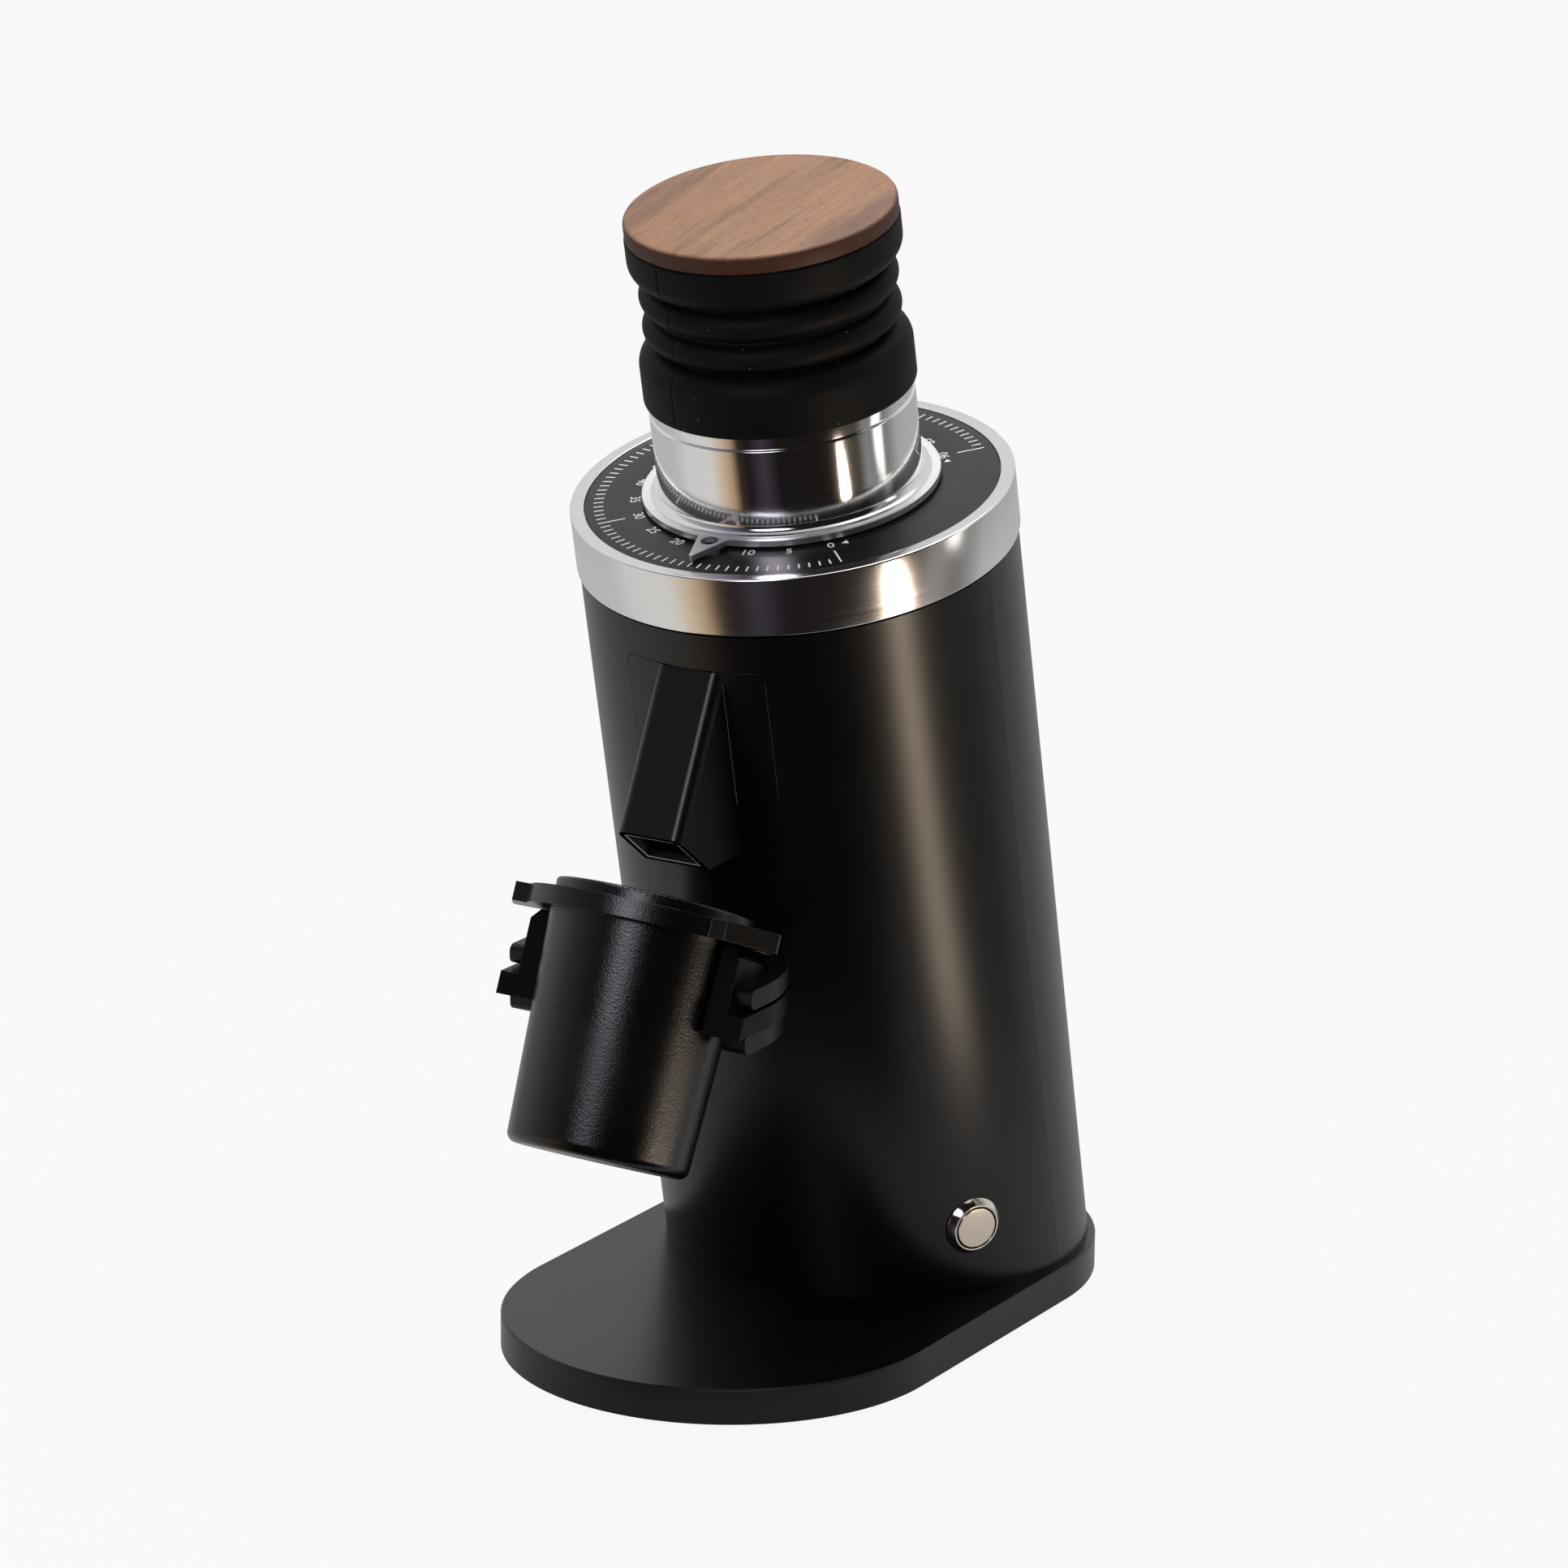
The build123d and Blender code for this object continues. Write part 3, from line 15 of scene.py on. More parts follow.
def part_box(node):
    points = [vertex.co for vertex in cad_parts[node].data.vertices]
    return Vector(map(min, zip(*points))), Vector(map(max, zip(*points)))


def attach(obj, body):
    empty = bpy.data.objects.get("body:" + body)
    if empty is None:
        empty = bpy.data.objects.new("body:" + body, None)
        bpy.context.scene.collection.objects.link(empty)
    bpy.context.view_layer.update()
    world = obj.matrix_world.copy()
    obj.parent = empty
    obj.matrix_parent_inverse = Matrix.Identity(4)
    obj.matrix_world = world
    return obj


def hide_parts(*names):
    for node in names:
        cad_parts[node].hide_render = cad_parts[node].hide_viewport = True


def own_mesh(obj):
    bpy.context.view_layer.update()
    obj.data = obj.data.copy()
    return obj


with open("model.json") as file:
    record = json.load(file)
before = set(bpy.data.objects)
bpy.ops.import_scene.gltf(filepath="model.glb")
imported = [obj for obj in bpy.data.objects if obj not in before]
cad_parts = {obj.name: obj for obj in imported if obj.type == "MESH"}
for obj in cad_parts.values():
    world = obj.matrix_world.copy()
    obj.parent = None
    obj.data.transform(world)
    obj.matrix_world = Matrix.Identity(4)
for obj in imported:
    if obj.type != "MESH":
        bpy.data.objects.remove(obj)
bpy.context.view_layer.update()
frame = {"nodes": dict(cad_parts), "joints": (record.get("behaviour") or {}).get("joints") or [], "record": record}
nodes = frame["nodes"]
mm = 0.001

# %% [markdown]
# The body leans forward, so most pieces are modelled upright and then placed on its axis. The axis
# comes from the dial's joint. Its local frame has Z along the leaning axis and -Y to the front.

# %% Places read from the joints
def joint(name):
    """The frame's record of one joint."""
    return next(entry for entry in frame["joints"] if entry["name"] == name)


def frame_on(origin, axis, across=Vector((1, 0, 0))):
    """A matrix that stands Z on an axis, with X as near to the given direction as it can be."""
    up = Vector(axis).normalized()
    back = up.cross(across).normalized()
    return Matrix.Translation(origin) @ Matrix((back.cross(up), back, up)).transposed().to_4x4()


dial_joint_height = 215 * mm
axis_up = Vector(joint("adjust_turn")["axis"])
body_foot = Vector(joint("adjust_turn")["pos_m"]) - dial_joint_height * axis_up
body_frame = frame_on(body_foot, axis_up)
print("body's axis", tuple(round(v, 3) for v in axis_up), "foot", tuple(round(v, 4) for v in body_foot))

# %% [markdown]
# The camera stands to the right of the front and a little above, with a long lens, so that the
# tube's sides stay almost parallel. Its place was fitted to the rims and edges in the photograph.

# %% Camera
camera_place = Vector((0.7961, -1.3123, 0.5754))
camera_azimuth = radians(31.48)
camera_rise = radians(15.79)
camera_roll = radians(0.57)
camera_data = bpy.data.cameras.new("camera")
camera_data.lens = 143.7
camera_data.sensor_width = 36
camera = bpy.data.objects.new("camera", camera_data)
look_back = Vector((sin(camera_azimuth) * cos(camera_rise), -cos(camera_azimuth) * cos(camera_rise),
                    sin(camera_rise)))
camera_right = Vector((cos(camera_azimuth), sin(camera_azimuth), 0))
level_camera = frame_on(camera_place, look_back, camera_right)
camera.matrix_world = level_camera @ Matrix.Rotation(camera_roll, 4, "Z")
bpy.context.scene.collection.objects.link(camera)
bpy.context.scene.camera = camera
bpy.context.scene.view_settings.view_transform = "Standard"
print("camera", tuple(round(v, 3) for v in camera_place), "lens", camera_data.lens)

# %% [markdown]
# Finishes are made of shader nodes. Written out, the sum of two node outputs takes several lines, so a
# small class wraps one output and overloads the operators: each of them adds a Math node. With the
# reflected forms, a plain number can stand on the left.

# %% Wires between shader nodes
class Wire:
    """One output of a shader node; sums, products and comparisons of wires add Math nodes."""

    def __init__(self, tree, socket):
        self.tree = tree
        self.socket = socket

    def sibling(self, output):
        """Another output of the same node."""
        return Wire(self.tree, self.socket.node.outputs[output])

    def math(self, operation, first, second=0.0):
        return self.tree.node("Math", {"operation": operation}, {0: first, 1: second})

    def __add__(self, other):
        return self.math("ADD", self, other)

    def __radd__(self, other):
        return self.math("ADD", other, self)

    def __sub__(self, other):
        return self.math("SUBTRACT", self, other)

    def __rsub__(self, other):
        return self.math("SUBTRACT", other, self)

    def __mul__(self, other):
        return self.math("MULTIPLY", self, other)

    def __rmul__(self, other):
        return self.math("MULTIPLY", other, self)

    def __pow__(self, other):
        return self.math("POWER", self, other)

    def __abs__(self):
        return self.math("ABSOLUTE", self)

    def __gt__(self, other):
        return self.math("GREATER_THAN", self, other)

    def __lt__(self, other):
        return self.math("LESS_THAN", self, other)


print("wires ready")

# %% [markdown]
# Materials, worlds and lamps all hold a node tree. A second class fills such a tree: one method adds
# any node by its type, its settings and its sockets, and a few short ones add what is needed often.

# %% Node trees
class Tree:
    """The node tree of a material, a world or a lamp."""

    def __init__(self, nodes_of):
        nodes_of.use_nodes = True
        self.tree = nodes_of.node_tree

    def node(self, kind, settings=None, sockets=None, output=0):
        """Adds a node and gives one of its outputs."""
        made = self.tree.nodes.new("ShaderNode" + kind)
        for setting, value in (settings or {}).items():
            setattr(made, setting, value)
        for socket, value in (sockets or {}).items():
            self.plug(made.inputs[socket], value)
        return Wire(self, made.outputs[output])

    def plug(self, socket, value):
        """Links a wire to a socket, or sets a constant there."""
        if isinstance(value, Wire):
            self.tree.links.new(value.socket, socket)
        elif socket.type == "RGBA" and len(value) == 3:
            socket.default_value = (*value, 1.0)
        else:
            socket.default_value = value

    def blend(self, factor, first, second):
        """A colour between two others."""
        return self.node("Mix", {"data_type": "RGBA"}, {0: factor, 6: first, 7: second}, output=2)

    def ramp(self, value, low, high, start=0.0, end=1.0):
        """A value that eases from start to end while another goes from low to high."""
        return self.node("MapRange", {"interpolation_type": "SMOOTHSTEP"},
                         {"Value": value, "From Min": low, "From Max": high, "To Min": start, "To Max": end})

    def parts(self, vector):
        """The X, Y and Z of a vector."""
        first = self.node("SeparateXYZ", {}, {"Vector": vector})
        return [first.sibling(axis) for axis in "XYZ"]


print("node trees ready")

# %% [markdown]
# A finish is a material on the Principled shader. Its patterns sit on Object coordinates, which stay
# with the piece and need no unwrapping. A Mapping node turns them into a piece's own upright frame.

# %% Finishes
class Finish(Tree):
    """One material on the Principled shader."""

    def __init__(self, name, **sockets):
        self.material = bpy.data.materials.new(name)
        super().__init__(self.material)
        self.shader = self.tree.nodes["Principled BSDF"]
        self.place = self.node("TexCoord", output="Object")
        self.set(**sockets)

    def set(self, **sockets):
        """Fills the shader's sockets, with _ for a space in their names."""
        for name, value in sockets.items():
            self.plug(self.shader.inputs[name.replace("_", " ")], value)

    def local(self, matrix=body_frame):
        """Object coordinates turned into a piece's own upright frame."""
        return self.node("Mapping", {"vector_type": "TEXTURE"}, {
            "Vector": self.place, "Location": matrix.to_translation(), "Rotation": matrix.to_euler()})

    def noise(self, scale, detail=2.0, vector=None, stretch=None):
        """Noise with about so many lumps to the metre, stretched along the axes if asked."""
        vector = vector or self.place
        if stretch:
            vector = self.node("Mapping", {}, {"Vector": vector, "Scale": stretch})
        return self.node("TexNoise", {}, {"Vector": vector, "Scale": scale, "Detail": detail})

    def bump(self, height, depth, edge=0.0):
        """Lifts the skin by a height, over edges that are rounded by so many millimetres if asked."""
        sockets = {"Height": height, "Distance": depth}
        if edge:
            sockets["Normal"] = self.node("Bevel", {"samples": 6}, {"Radius": edge * mm})
        self.set(Normal=self.node("Bump", {}, sockets))


print("finishes ready")

# %% [markdown]
# The studio is white for the camera, but a fully white world would also flood the black body with
# light. The Light Path node tells the camera's rays from all others, so the world can look white and
# still light the grinder with half of that. Mirrored rays see something in between.

# %% World
def seen_directly(tree, mirrored):
    """One for camera rays and rays through glass, and a share of it for mirrored rays."""
    camera_ray = tree.node("LightPath", output="Is Camera Ray")
    glossy_ray = camera_ray.sibling("Is Glossy Ray")
    glass_ray = camera_ray.sibling("Is Transmission Ray")
    return camera_ray.math("MINIMUM", camera_ray + mirrored * glossy_ray + glass_ray, 1.0)


ambient_level = 0.5
mirrored_sky = 0.35
world = bpy.data.worlds.new("studio")
bpy.context.scene.world = world
sky = Tree(world)
backdrop = sky.blend(seen_directly(sky, mirrored_sky), (ambient_level,) * 3, (1.0,) * 3)
sky.plug(sky.tree.nodes["Background"].inputs["Color"], backdrop)
print("world", world.name, "lights with", ambient_level)

# %% [markdown]
# The floor is a sheet of pale paper. Lit only by lamps it would turn grey towards its edges, so most of
# what the camera sees is a plain glow, and a small share of real paper in it takes the soft shadow.

# %% Floor
floor_size = 6.0
floor_glow, mirrored_floor, paper_grey = 0.92, 0.26, 0.40
floor_mesh = bmesh.new()
bmesh.ops.create_grid(floor_mesh, x_segments=1, y_segments=1, size=floor_size)
floor_data = bpy.data.meshes.new("floor")
floor_mesh.to_mesh(floor_data)
floor_mesh.free()
floor = bpy.data.objects.new("floor", floor_data)
bpy.context.scene.collection.objects.link(floor)
floor_white = bpy.data.materials.new("floor_white")
floor_paint = Tree(floor_white)
paper = floor_paint.node("BsdfDiffuse", {}, {"Color": (paper_grey,) * 3})
glow = floor_paint.node("Emission", {}, {"Color": (1.0, 1.0, 1.0)})
glow_share = floor_glow * seen_directly(floor_paint, mirrored_floor)
floor_mix = floor_paint.node("MixShader", {}, {0: glow_share, 1: paper, 2: glow})
floor_paint.plug(floor_paint.tree.nodes["Material Output"].inputs["Surface"], floor_mix)
floor_data.materials.append(floor_white)
print("floor", floor.name, "glows with", floor_glow)

# %% [markdown]
# A black product is shown by what it mirrors. A photographer would stand a black card round the
# camera's side, so that the front of the tube stays deep black. This one lies on the floor near the
# grinder and turns up further out: a bent edge is spun part of the way round, which makes the whole
# screen in one step. Only reflections show it, so it throws no shadow and never hides the grinder.

# %% Black card
card_inner, card_outer, card_height, card_lift = 0.12, 1.1, 2.2, 0.0012
card_start, card_turn, card_steps = radians(-80), radians(250), 60
card_corners = ((0, -card_inner, card_lift), (0, -card_outer, card_lift), (0, -card_outer, card_height))
card_mesh = bmesh.new()
card_edge = [card_mesh.verts.new(corner) for corner in card_corners]
card_lines = [card_mesh.edges.new(pair) for pair in zip(card_edge, card_edge[1:])]
bmesh.ops.rotate(card_mesh, verts=card_edge, matrix=Matrix.Rotation(card_start, 3, "Z"))
bmesh.ops.spin(card_mesh, geom=card_edge + card_lines, cent=(0, 0, 0), axis=(0, 0, 1), angle=card_turn,
               steps=card_steps)
card_data = bpy.data.meshes.new("black_card")
card_mesh.to_mesh(card_data)
card_mesh.free()
card = bpy.data.objects.new("black_card", card_data)
bpy.context.scene.collection.objects.link(card)
card.visible_camera = False
card.visible_diffuse = False
card.visible_shadow = False
card.visible_transmission = False
print("black card faces", len(card_data.polygons))

# %% [markdown]
# Real screens have gaps and pick up colour from the room, and that gives the tube its grey and warm
# stretches. Colour ramps hold how well the card covers and how it is tinted at each angle round the
# grinder: 0 is the front and positive angles go to the right. Tints near the floor and higher up differ.

# %% Paint on the card
first_angle, last_angle = -90, 180
card_cover = ((-80, 0.0), (-62, 1.0), (96, 1.0), (104, 0.6), (112, 0.65), (120, 0.8), (128, 0.6),
              (142, 0.1), (160, 0.0))
low_tint = ((-60, (0.62, 0.62, 0.61)), (-36, (0.66, 0.64, 0.60)), (-25, (0.58, 0.46, 0.33)),
            (-16, (0.42, 0.28, 0.17)), (-9, (0.035, 0.024, 0.018)), (0, (0.012, 0.009, 0.009)),
            (13, (0.045, 0.036, 0.052)), (26, (0.010, 0.008, 0.008)), (70, (0.010, 0.008, 0.007)),
            (90, (0.06, 0.05, 0.04)))
high_tint = ((-62, (0.34, 0.34, 0.36)), (-34, (0.19, 0.18, 0.22)), (-20, (0.07, 0.06, 0.08)),
             (-6, (0.012, 0.010, 0.011)), (80, (0.010, 0.008, 0.008)))
low_height, high_height = 0.10, 0.45
gap_far, gap_near = 0.32, 0.14
gap_start, gap_end = radians(50), radians(80)
card_black = bpy.data.materials.new("black_card")
card_paint = Tree(card_black)
card_place = card_paint.node("TexCoord", output="Object")
card_x, card_y, card_z = card_paint.parts(card_place)
round_card = card_x.math("ARCTAN2", card_x, 0 - card_y)
turn_share = card_paint.node("MapRange", {}, {
    "Value": round_card, "From Min": radians(first_angle), "From Max": radians(last_angle)})


def round_ramp(stops):
    """A colour ramp round the card, from pairs of an angle in degrees and a colour."""
    ramp = card_paint.node("ValToRGB", {}, {"Fac": turn_share})
    elements = ramp.socket.node.color_ramp.elements
    while len(elements) < len(stops):
        elements.new(1.0)
    for element, (angle, colour) in zip(elements, stops):
        element.position = (angle - first_angle) / (last_angle - first_angle)
        element.color = (*colour, 1.0)
    return ramp


cover = round_ramp([(angle, (share,) * 3) for angle, share in card_cover])
tint = card_paint.blend(card_paint.ramp(card_z, low_height, high_height), round_ramp(low_tint),
                        round_ramp(high_tint))
card_reach = card_paint.node("VectorMath", {"operation": "LENGTH"}, {0: card_place}, output="Value")
near_gap = card_paint.ramp(round_card, gap_start, gap_end) * card_paint.ramp(card_reach, gap_far, gap_near)
dark = card_paint.node("Emission", {}, {"Color": tint})
clear = card_paint.node("BsdfTransparent")
card_mix = card_paint.node("MixShader", {}, {0: cover * (1 - near_gap), 1: clear, 2: dark})
card_paint.plug(card_paint.tree.nodes["Material Output"].inputs["Surface"], card_mix)
card_data.materials.append(card_black)
print("card painted with", len(card_paint.tree.nodes), "nodes")

# %% [markdown]
# Studio lamps are soft boxes: cloth in a frame, brightest in the middle. A plain area lamp has hard
# edges, which polished metal would mirror as a sharp window. Each lamp's node tree fades its strength
# towards its sides, and on a long strip only across it.

# %% Soft boxes
lamp_core = 0.12
lamp_middle = 0.5


def softbox(name, placement, width, height, brightness, colour, strip=False):
    """A rectangular lamp whose light fades to its sides, and on a strip only to the long ones."""
    lamp = bpy.data.lights.new(name, "AREA")
    lamp.shape = "RECTANGLE"
    lamp.size = width
    lamp.size_y = height
    lamp.energy = brightness * pi * width * height
    lamp.color = colour
    cloth = Tree(lamp)
    sides = cloth.parts(cloth.node("NewGeometry", output="Parametric"))[:2]
    wide, tall = (cloth.ramp(abs(side - lamp_middle), lamp_middle, lamp_core) for side in sides)
    short = tall if width > height else wide
    cloth.plug(cloth.tree.nodes["Emission"].inputs["Strength"], short if strip else wide * tall)
    holder = bpy.data.objects.new(name, lamp)
    holder.matrix_world = placement
    holder.visible_camera = False
    bpy.context.scene.collection.objects.link(holder)


print("soft boxes fade from", lamp_core, "of their width")

# %% [markdown]
# Five lamps. Two warm strips lie on the floor at the right, because the leaning tube mirrors the floor:
# they draw the long highlight down its side. A tall strip behind lifts the right edge, a cool box near
# the camera gives the cup its violet sheen, and a large one above lights the lid and the dial.

# %% Lamps
lamp_centre = Vector((0, -0.0068, 0.15))
lamp_target = Vector((0, -0.0168, 0.15))
strip_lift = 0.004
warm_light, side_light = (1.0, 0.80, 0.62), (1.0, 0.95, 0.9)
violet_light, top_light = (0.94, 0.86, 1.0), (1.0, 0.98, 0.96)


def studio_point(azimuth, rise, distance):
    """A point seen from the object's middle at an azimuth and a rise."""
    turn, lift = radians(azimuth), radians(rise)
    return lamp_centre + distance * Vector((sin(turn) * cos(lift), -cos(turn) * cos(lift), sin(lift)))


def facing(place, target=lamp_target):
    """The placement of a lamp that shines from a place at a target."""
    towards = Vector(target) - Vector(place)
    return Matrix.Translation(place) @ towards.to_track_quat("-Z", "Y").to_matrix().to_4x4()


def lying(near, far):
    """The placement of a strip that lies on the floor from one point to another and shines upwards."""
    centre = (near + far) / 2
    turn = Matrix.Rotation(atan2(far.y - near.y, far.x - near.x), 4, "Z")
    return Matrix.Translation((centre.x, centre.y, strip_lift)) @ turn @ Matrix.Rotation(pi, 4, "X")


floor_strips = (("near_strip", Vector((0.20, 0.0132)), Vector((0.37, -0.0318)), 0.10, 8.0),
                ("far_strip", Vector((0.37, -0.0268)), Vector((0.68, -0.1118)), 0.115, 18.0))
for name, near, far, width, brightness in floor_strips:
    softbox(name, lying(near, far), (far - near).length, width, brightness, warm_light, strip=True)
softbox("side_strip", facing(studio_point(azimuth=118, rise=6, distance=0.95)), width=0.24, height=0.8,
        brightness=1.5, colour=side_light, strip=True)
softbox("front_box", facing(studio_point(azimuth=9, rise=28, distance=1.0)), width=0.56, height=0.48,
        brightness=7.0, colour=violet_light)
softbox("top_box", facing((-0.1, 0.25, 1.3), target=(0, 0, 0.2)), width=1.2, height=1.2,
        brightness=4.4, colour=top_light)
print("lamps", [light.name for light in bpy.data.lights])

# %% [markdown]
# The tube and base are powder-coated metal: deep black, with a satin sheen and a skin so fine that it
# only shows as a slight grain in the highlights. The cup, the fork and the mouldings are other blacks
# of the same kind, so one function makes them all. Noise moves the roughness and lifts the skin.

# %% Black coats
def black_coat(name, colour, roughness, grain, depth, spread=0.05, edge=0.0, gloss=0.5):
    """A black coat with a fine skin, and with edges that catch the light over so many millimetres."""
    coat = Finish(name, Specular_IOR_Level=gloss)
    cloud = coat.noise(35, 3)
    skin = coat.noise(grain, 3)
    coat.set(Base_Color=coat.blend(cloud, tuple(c * 0.8 for c in colour), tuple(c * 1.25 for c in colour)),
             Roughness=roughness + spread * (cloud - 0.5) + spread * (skin - 0.5))
    coat.bump(skin, depth, edge=edge)
    return coat.material


body_colour, body_gloss, body_grain, body_skin = (0.0018, 0.0018, 0.0019), 0.42, 2600, 0.006 * mm
satin_black = black_coat("satin_black", body_colour, roughness=0.30, grain=body_grain, depth=body_skin,
                         gloss=body_gloss)
anodised_black = black_coat("anodised_black", (0.0022, 0.0021, 0.0022), roughness=0.25, grain=1900,
                            depth=0.06 * mm, spread=0.2, edge=0.35)
matt_black = black_coat("matt_black", (0.003, 0.003, 0.003), roughness=0.30, grain=1800,
                        depth=0.020 * mm, edge=0.4, gloss=0.12)
moulded_black = black_coat("moulded_black", (0.004, 0.004, 0.004), roughness=0.34, grain=1500,
                           depth=0.02 * mm, edge=0.35, gloss=0.28)
foot_rubber = black_coat("foot_rubber", (0.012, 0.012, 0.012), roughness=0.8, grain=900, depth=0.02 * mm)
print("black coats", satin_black.name, anodised_black.name, matt_black.name, moulded_black.name)

# %% [markdown]
# Turned aluminium keeps the lathe's lines. They are too fine to model, but they spread reflections
# across the lines: a noise that changes only along the profile lifts the surface a few thousandths
# of a millimetre, and the roughness varies with it.

# %% Turned metal
band_scale = 900.0


def turned_metal(name, colour, roughness, matrix=body_frame, line_depth=0.0015 * mm, lines=7000):
    """Bright metal with fine lathe lines about an axis."""
    metal = Finish(name, Metallic=1.0)
    x, y, z = metal.parts(metal.local(matrix))
    along = (x * x + y * y) ** 0.5 + z
    one_way = {"noise_dimensions": "1D"}
    fine = metal.node("TexNoise", one_way, {"W": along, "Scale": lines, "Detail": 3.0})
    bands = metal.node("TexNoise", one_way, {"W": along, "Scale": band_scale, "Detail": 2.0})
    smudge = metal.noise(45, 4)
    metal.set(Base_Color=metal.blend(bands, tuple(c * 0.94 for c in colour), colour),
              Roughness=roughness * (0.75 + 0.3 * bands + 0.2 * smudge))
    metal.bump(fine, line_depth)
    return metal.material


neck_metal = turned_metal("polished_aluminium", (0.93, 0.935, 0.94), 0.09)
collar_metal = turned_metal("brushed_aluminium", (0.92, 0.92, 0.92), 0.17)
ring_metal = turned_metal("satin_aluminium", (0.90, 0.905, 0.905), 0.36)
inner_metal = turned_metal("machined_aluminium", (0.62, 0.62, 0.62), 0.32)
print("turned metals", neck_metal.name, collar_metal.name, ring_metal.name, inner_metal.name)

# %% [markdown]
# Screws, burrs and the motor are inside or small. They get plain finishes whose colour and roughness
# vary a little, so none of them is a flat colour when the grinder is taken apart. The dial's white ink
# is made in the same way.

# %% Plain metals, board and ink
def plain_finish(name, colour, metallic, roughness, grain=400, depth=0.004 * mm):
    """A simple finish with slight variation."""
    finish = Finish(name, Metallic=metallic)
    cloud = finish.noise(60, 3)
    skin = finish.noise(grain, 2)
    finish.set(Base_Color=finish.blend(cloud, tuple(c * 0.85 for c in colour), colour),
               Roughness=roughness * (0.85 + 0.3 * skin))
    finish.bump(skin, depth)
    return finish.material


zinc_steel = plain_finish("zinc_steel", (0.55, 0.56, 0.57), 1.0, 0.3)
burr_steel = plain_finish("burr_steel", (0.48, 0.48, 0.49), 1.0, 0.25, 1200)
grey_casting = plain_finish("grey_casting", (0.10, 0.10, 0.105), 0.6, 0.5, 900)
enamelled_copper = plain_finish("enamelled_copper", (0.62, 0.26, 0.12), 1.0, 0.3, 1500, 0.03 * mm)
board_green = plain_finish("board_green", (0.02, 0.14, 0.06), 0.0, 0.35)
nickel = plain_finish("nickel", (0.70, 0.66, 0.58), 1.0, 0.2)
white_print = plain_finish("white_print", (0.98, 0.98, 0.98), 0.0, 0.5, 3000, 0.002 * mm)
print("plain finishes", zinc_steel.name, burr_steel.name, nickel.name, white_print.name)

# %% [markdown]
# The dial is black anodised metal with a satin face. It mirrors the white backdrop at the sides and
# the bellows in front, so its own colour is nearly black and its gloss is low.

# %% Dial finish
dial_black = black_coat("dial_black", (0.008, 0.0085, 0.0095), roughness=0.28, grain=3200,
                        depth=0.003 * mm, gloss=0.32)
print("dial", dial_black.name)

# %% [markdown]
# Silicone rubber is matt, with a soft bloom and a few specks of dust that cling to it. Voronoi cells
# give one speck a cell, and only the cells with a high random value keep theirs.

# %% Silicone
speck_scale, speck_reach, speck_rarity = 420.0, 0.075, 0.86
silicone = Finish("silicone", Specular_IOR_Level=0.13)
bloom = silicone.noise(70, 4)
rubber_skin = silicone.noise(3500, 2)
speck_cells = silicone.node("TexVoronoi", {}, {"Vector": silicone.place, "Scale": speck_scale}, "Distance")
speck_pick = silicone.node("SeparateColor", {}, {"Color": speck_cells.sibling("Color")})
specks = (speck_cells < speck_reach) * (speck_pick > speck_rarity)
soft_black = silicone.blend(bloom, (0.0022, 0.0022, 0.0024), (0.0045, 0.0045, 0.0048))
silicone.set(Base_Color=silicone.blend(specks, soft_black, (0.22, 0.22, 0.22)),
             Roughness=0.52 + 0.12 * bloom)
silicone.bump(rubber_skin, 0.006 * mm)
print("silicone", silicone.material.name)

# %% [markdown]
# The lid is oiled walnut. Its grain runs across the top, so the pattern is stretched along one
# direction in the lid's own frame: broad bands of colour, finer fibres, short dark pores, and a dark
# rim below the top's edge, which is partly end grain and partly painted shade on the lid's side.

# %% Walnut
lid_top = 290.9
rim_depth, rim_fade = 0.9, 0.03
pale_brown, golden_brown, fibre_brown = (0.31, 0.155, 0.082), (0.58, 0.335, 0.195), (0.16, 0.080, 0.048)
heart_brown, line_brown = (0.185, 0.105, 0.075), (0.10, 0.055, 0.038)
rim_grain_shade_brown, pore_brown = (0.042, 0.012, 0.005), (0.075, 0.036, 0.022)
grain_frame = body_frame @ Matrix.Rotation(radians(87), 4, "Z")
walnut = Finish("walnut", Specular_IOR_Level=0.3)
wood = walnut.local(grain_frame)
band = walnut.noise(26, 4, wood, (1.0, 4.5, 1.0))
fibre = walnut.noise(60, 6, wood, (1.0, 14.0, 6.0))
pores = walnut.ramp(walnut.noise(300, 3, wood, (1.0, 8.0, 4.0)), 0.60, 0.68)
heart = walnut.ramp(walnut.noise(15, 3, wood, (0.4, 4.0, 1.0)), 0.54, 0.62)
dark_line = walnut.ramp(walnut.noise(20, 4, wood, (0.7, 7.0, 1.0)), 0.54, 0.68)
streaked = walnut.blend(0.6 * fibre, walnut.blend(band, pale_brown, golden_brown), fibre_brown)
banded = walnut.blend(0.8 * heart, streaked, heart_brown)
lined = walnut.blend(0.45 * dark_line, banded, line_brown)
wood_height = walnut.parts(wood)[2]
# The lid's side below the top's edge is made much darker: partly end grain, partly painted shade.
rim = walnut.ramp(wood_height, (lid_top - rim_depth) * mm, (lid_top - rim_fade) * mm, 0.96, 0.0)
end_grain_and_shade = walnut.blend(rim, lined, rim_grain_shade_brown)
walnut.set(Base_Color=walnut.blend(0.6 * pores, end_grain_and_shade, pore_brown),
           Roughness=0.42 + 0.16 * fibre + 0.1 * pores)
walnut.bump(fibre - pores, 0.03 * mm)
print("walnut", walnut.material.name)

# %% [markdown]
# Every new piece ends in the same way: doubled points are merged, faces turn outwards, the mesh goes
# to its place, and the object is told which moving body it rides on and which solids it stands for.

# %% Finished pieces
sharp_angle = radians(38)
merge_distance = 0.0005 * mm


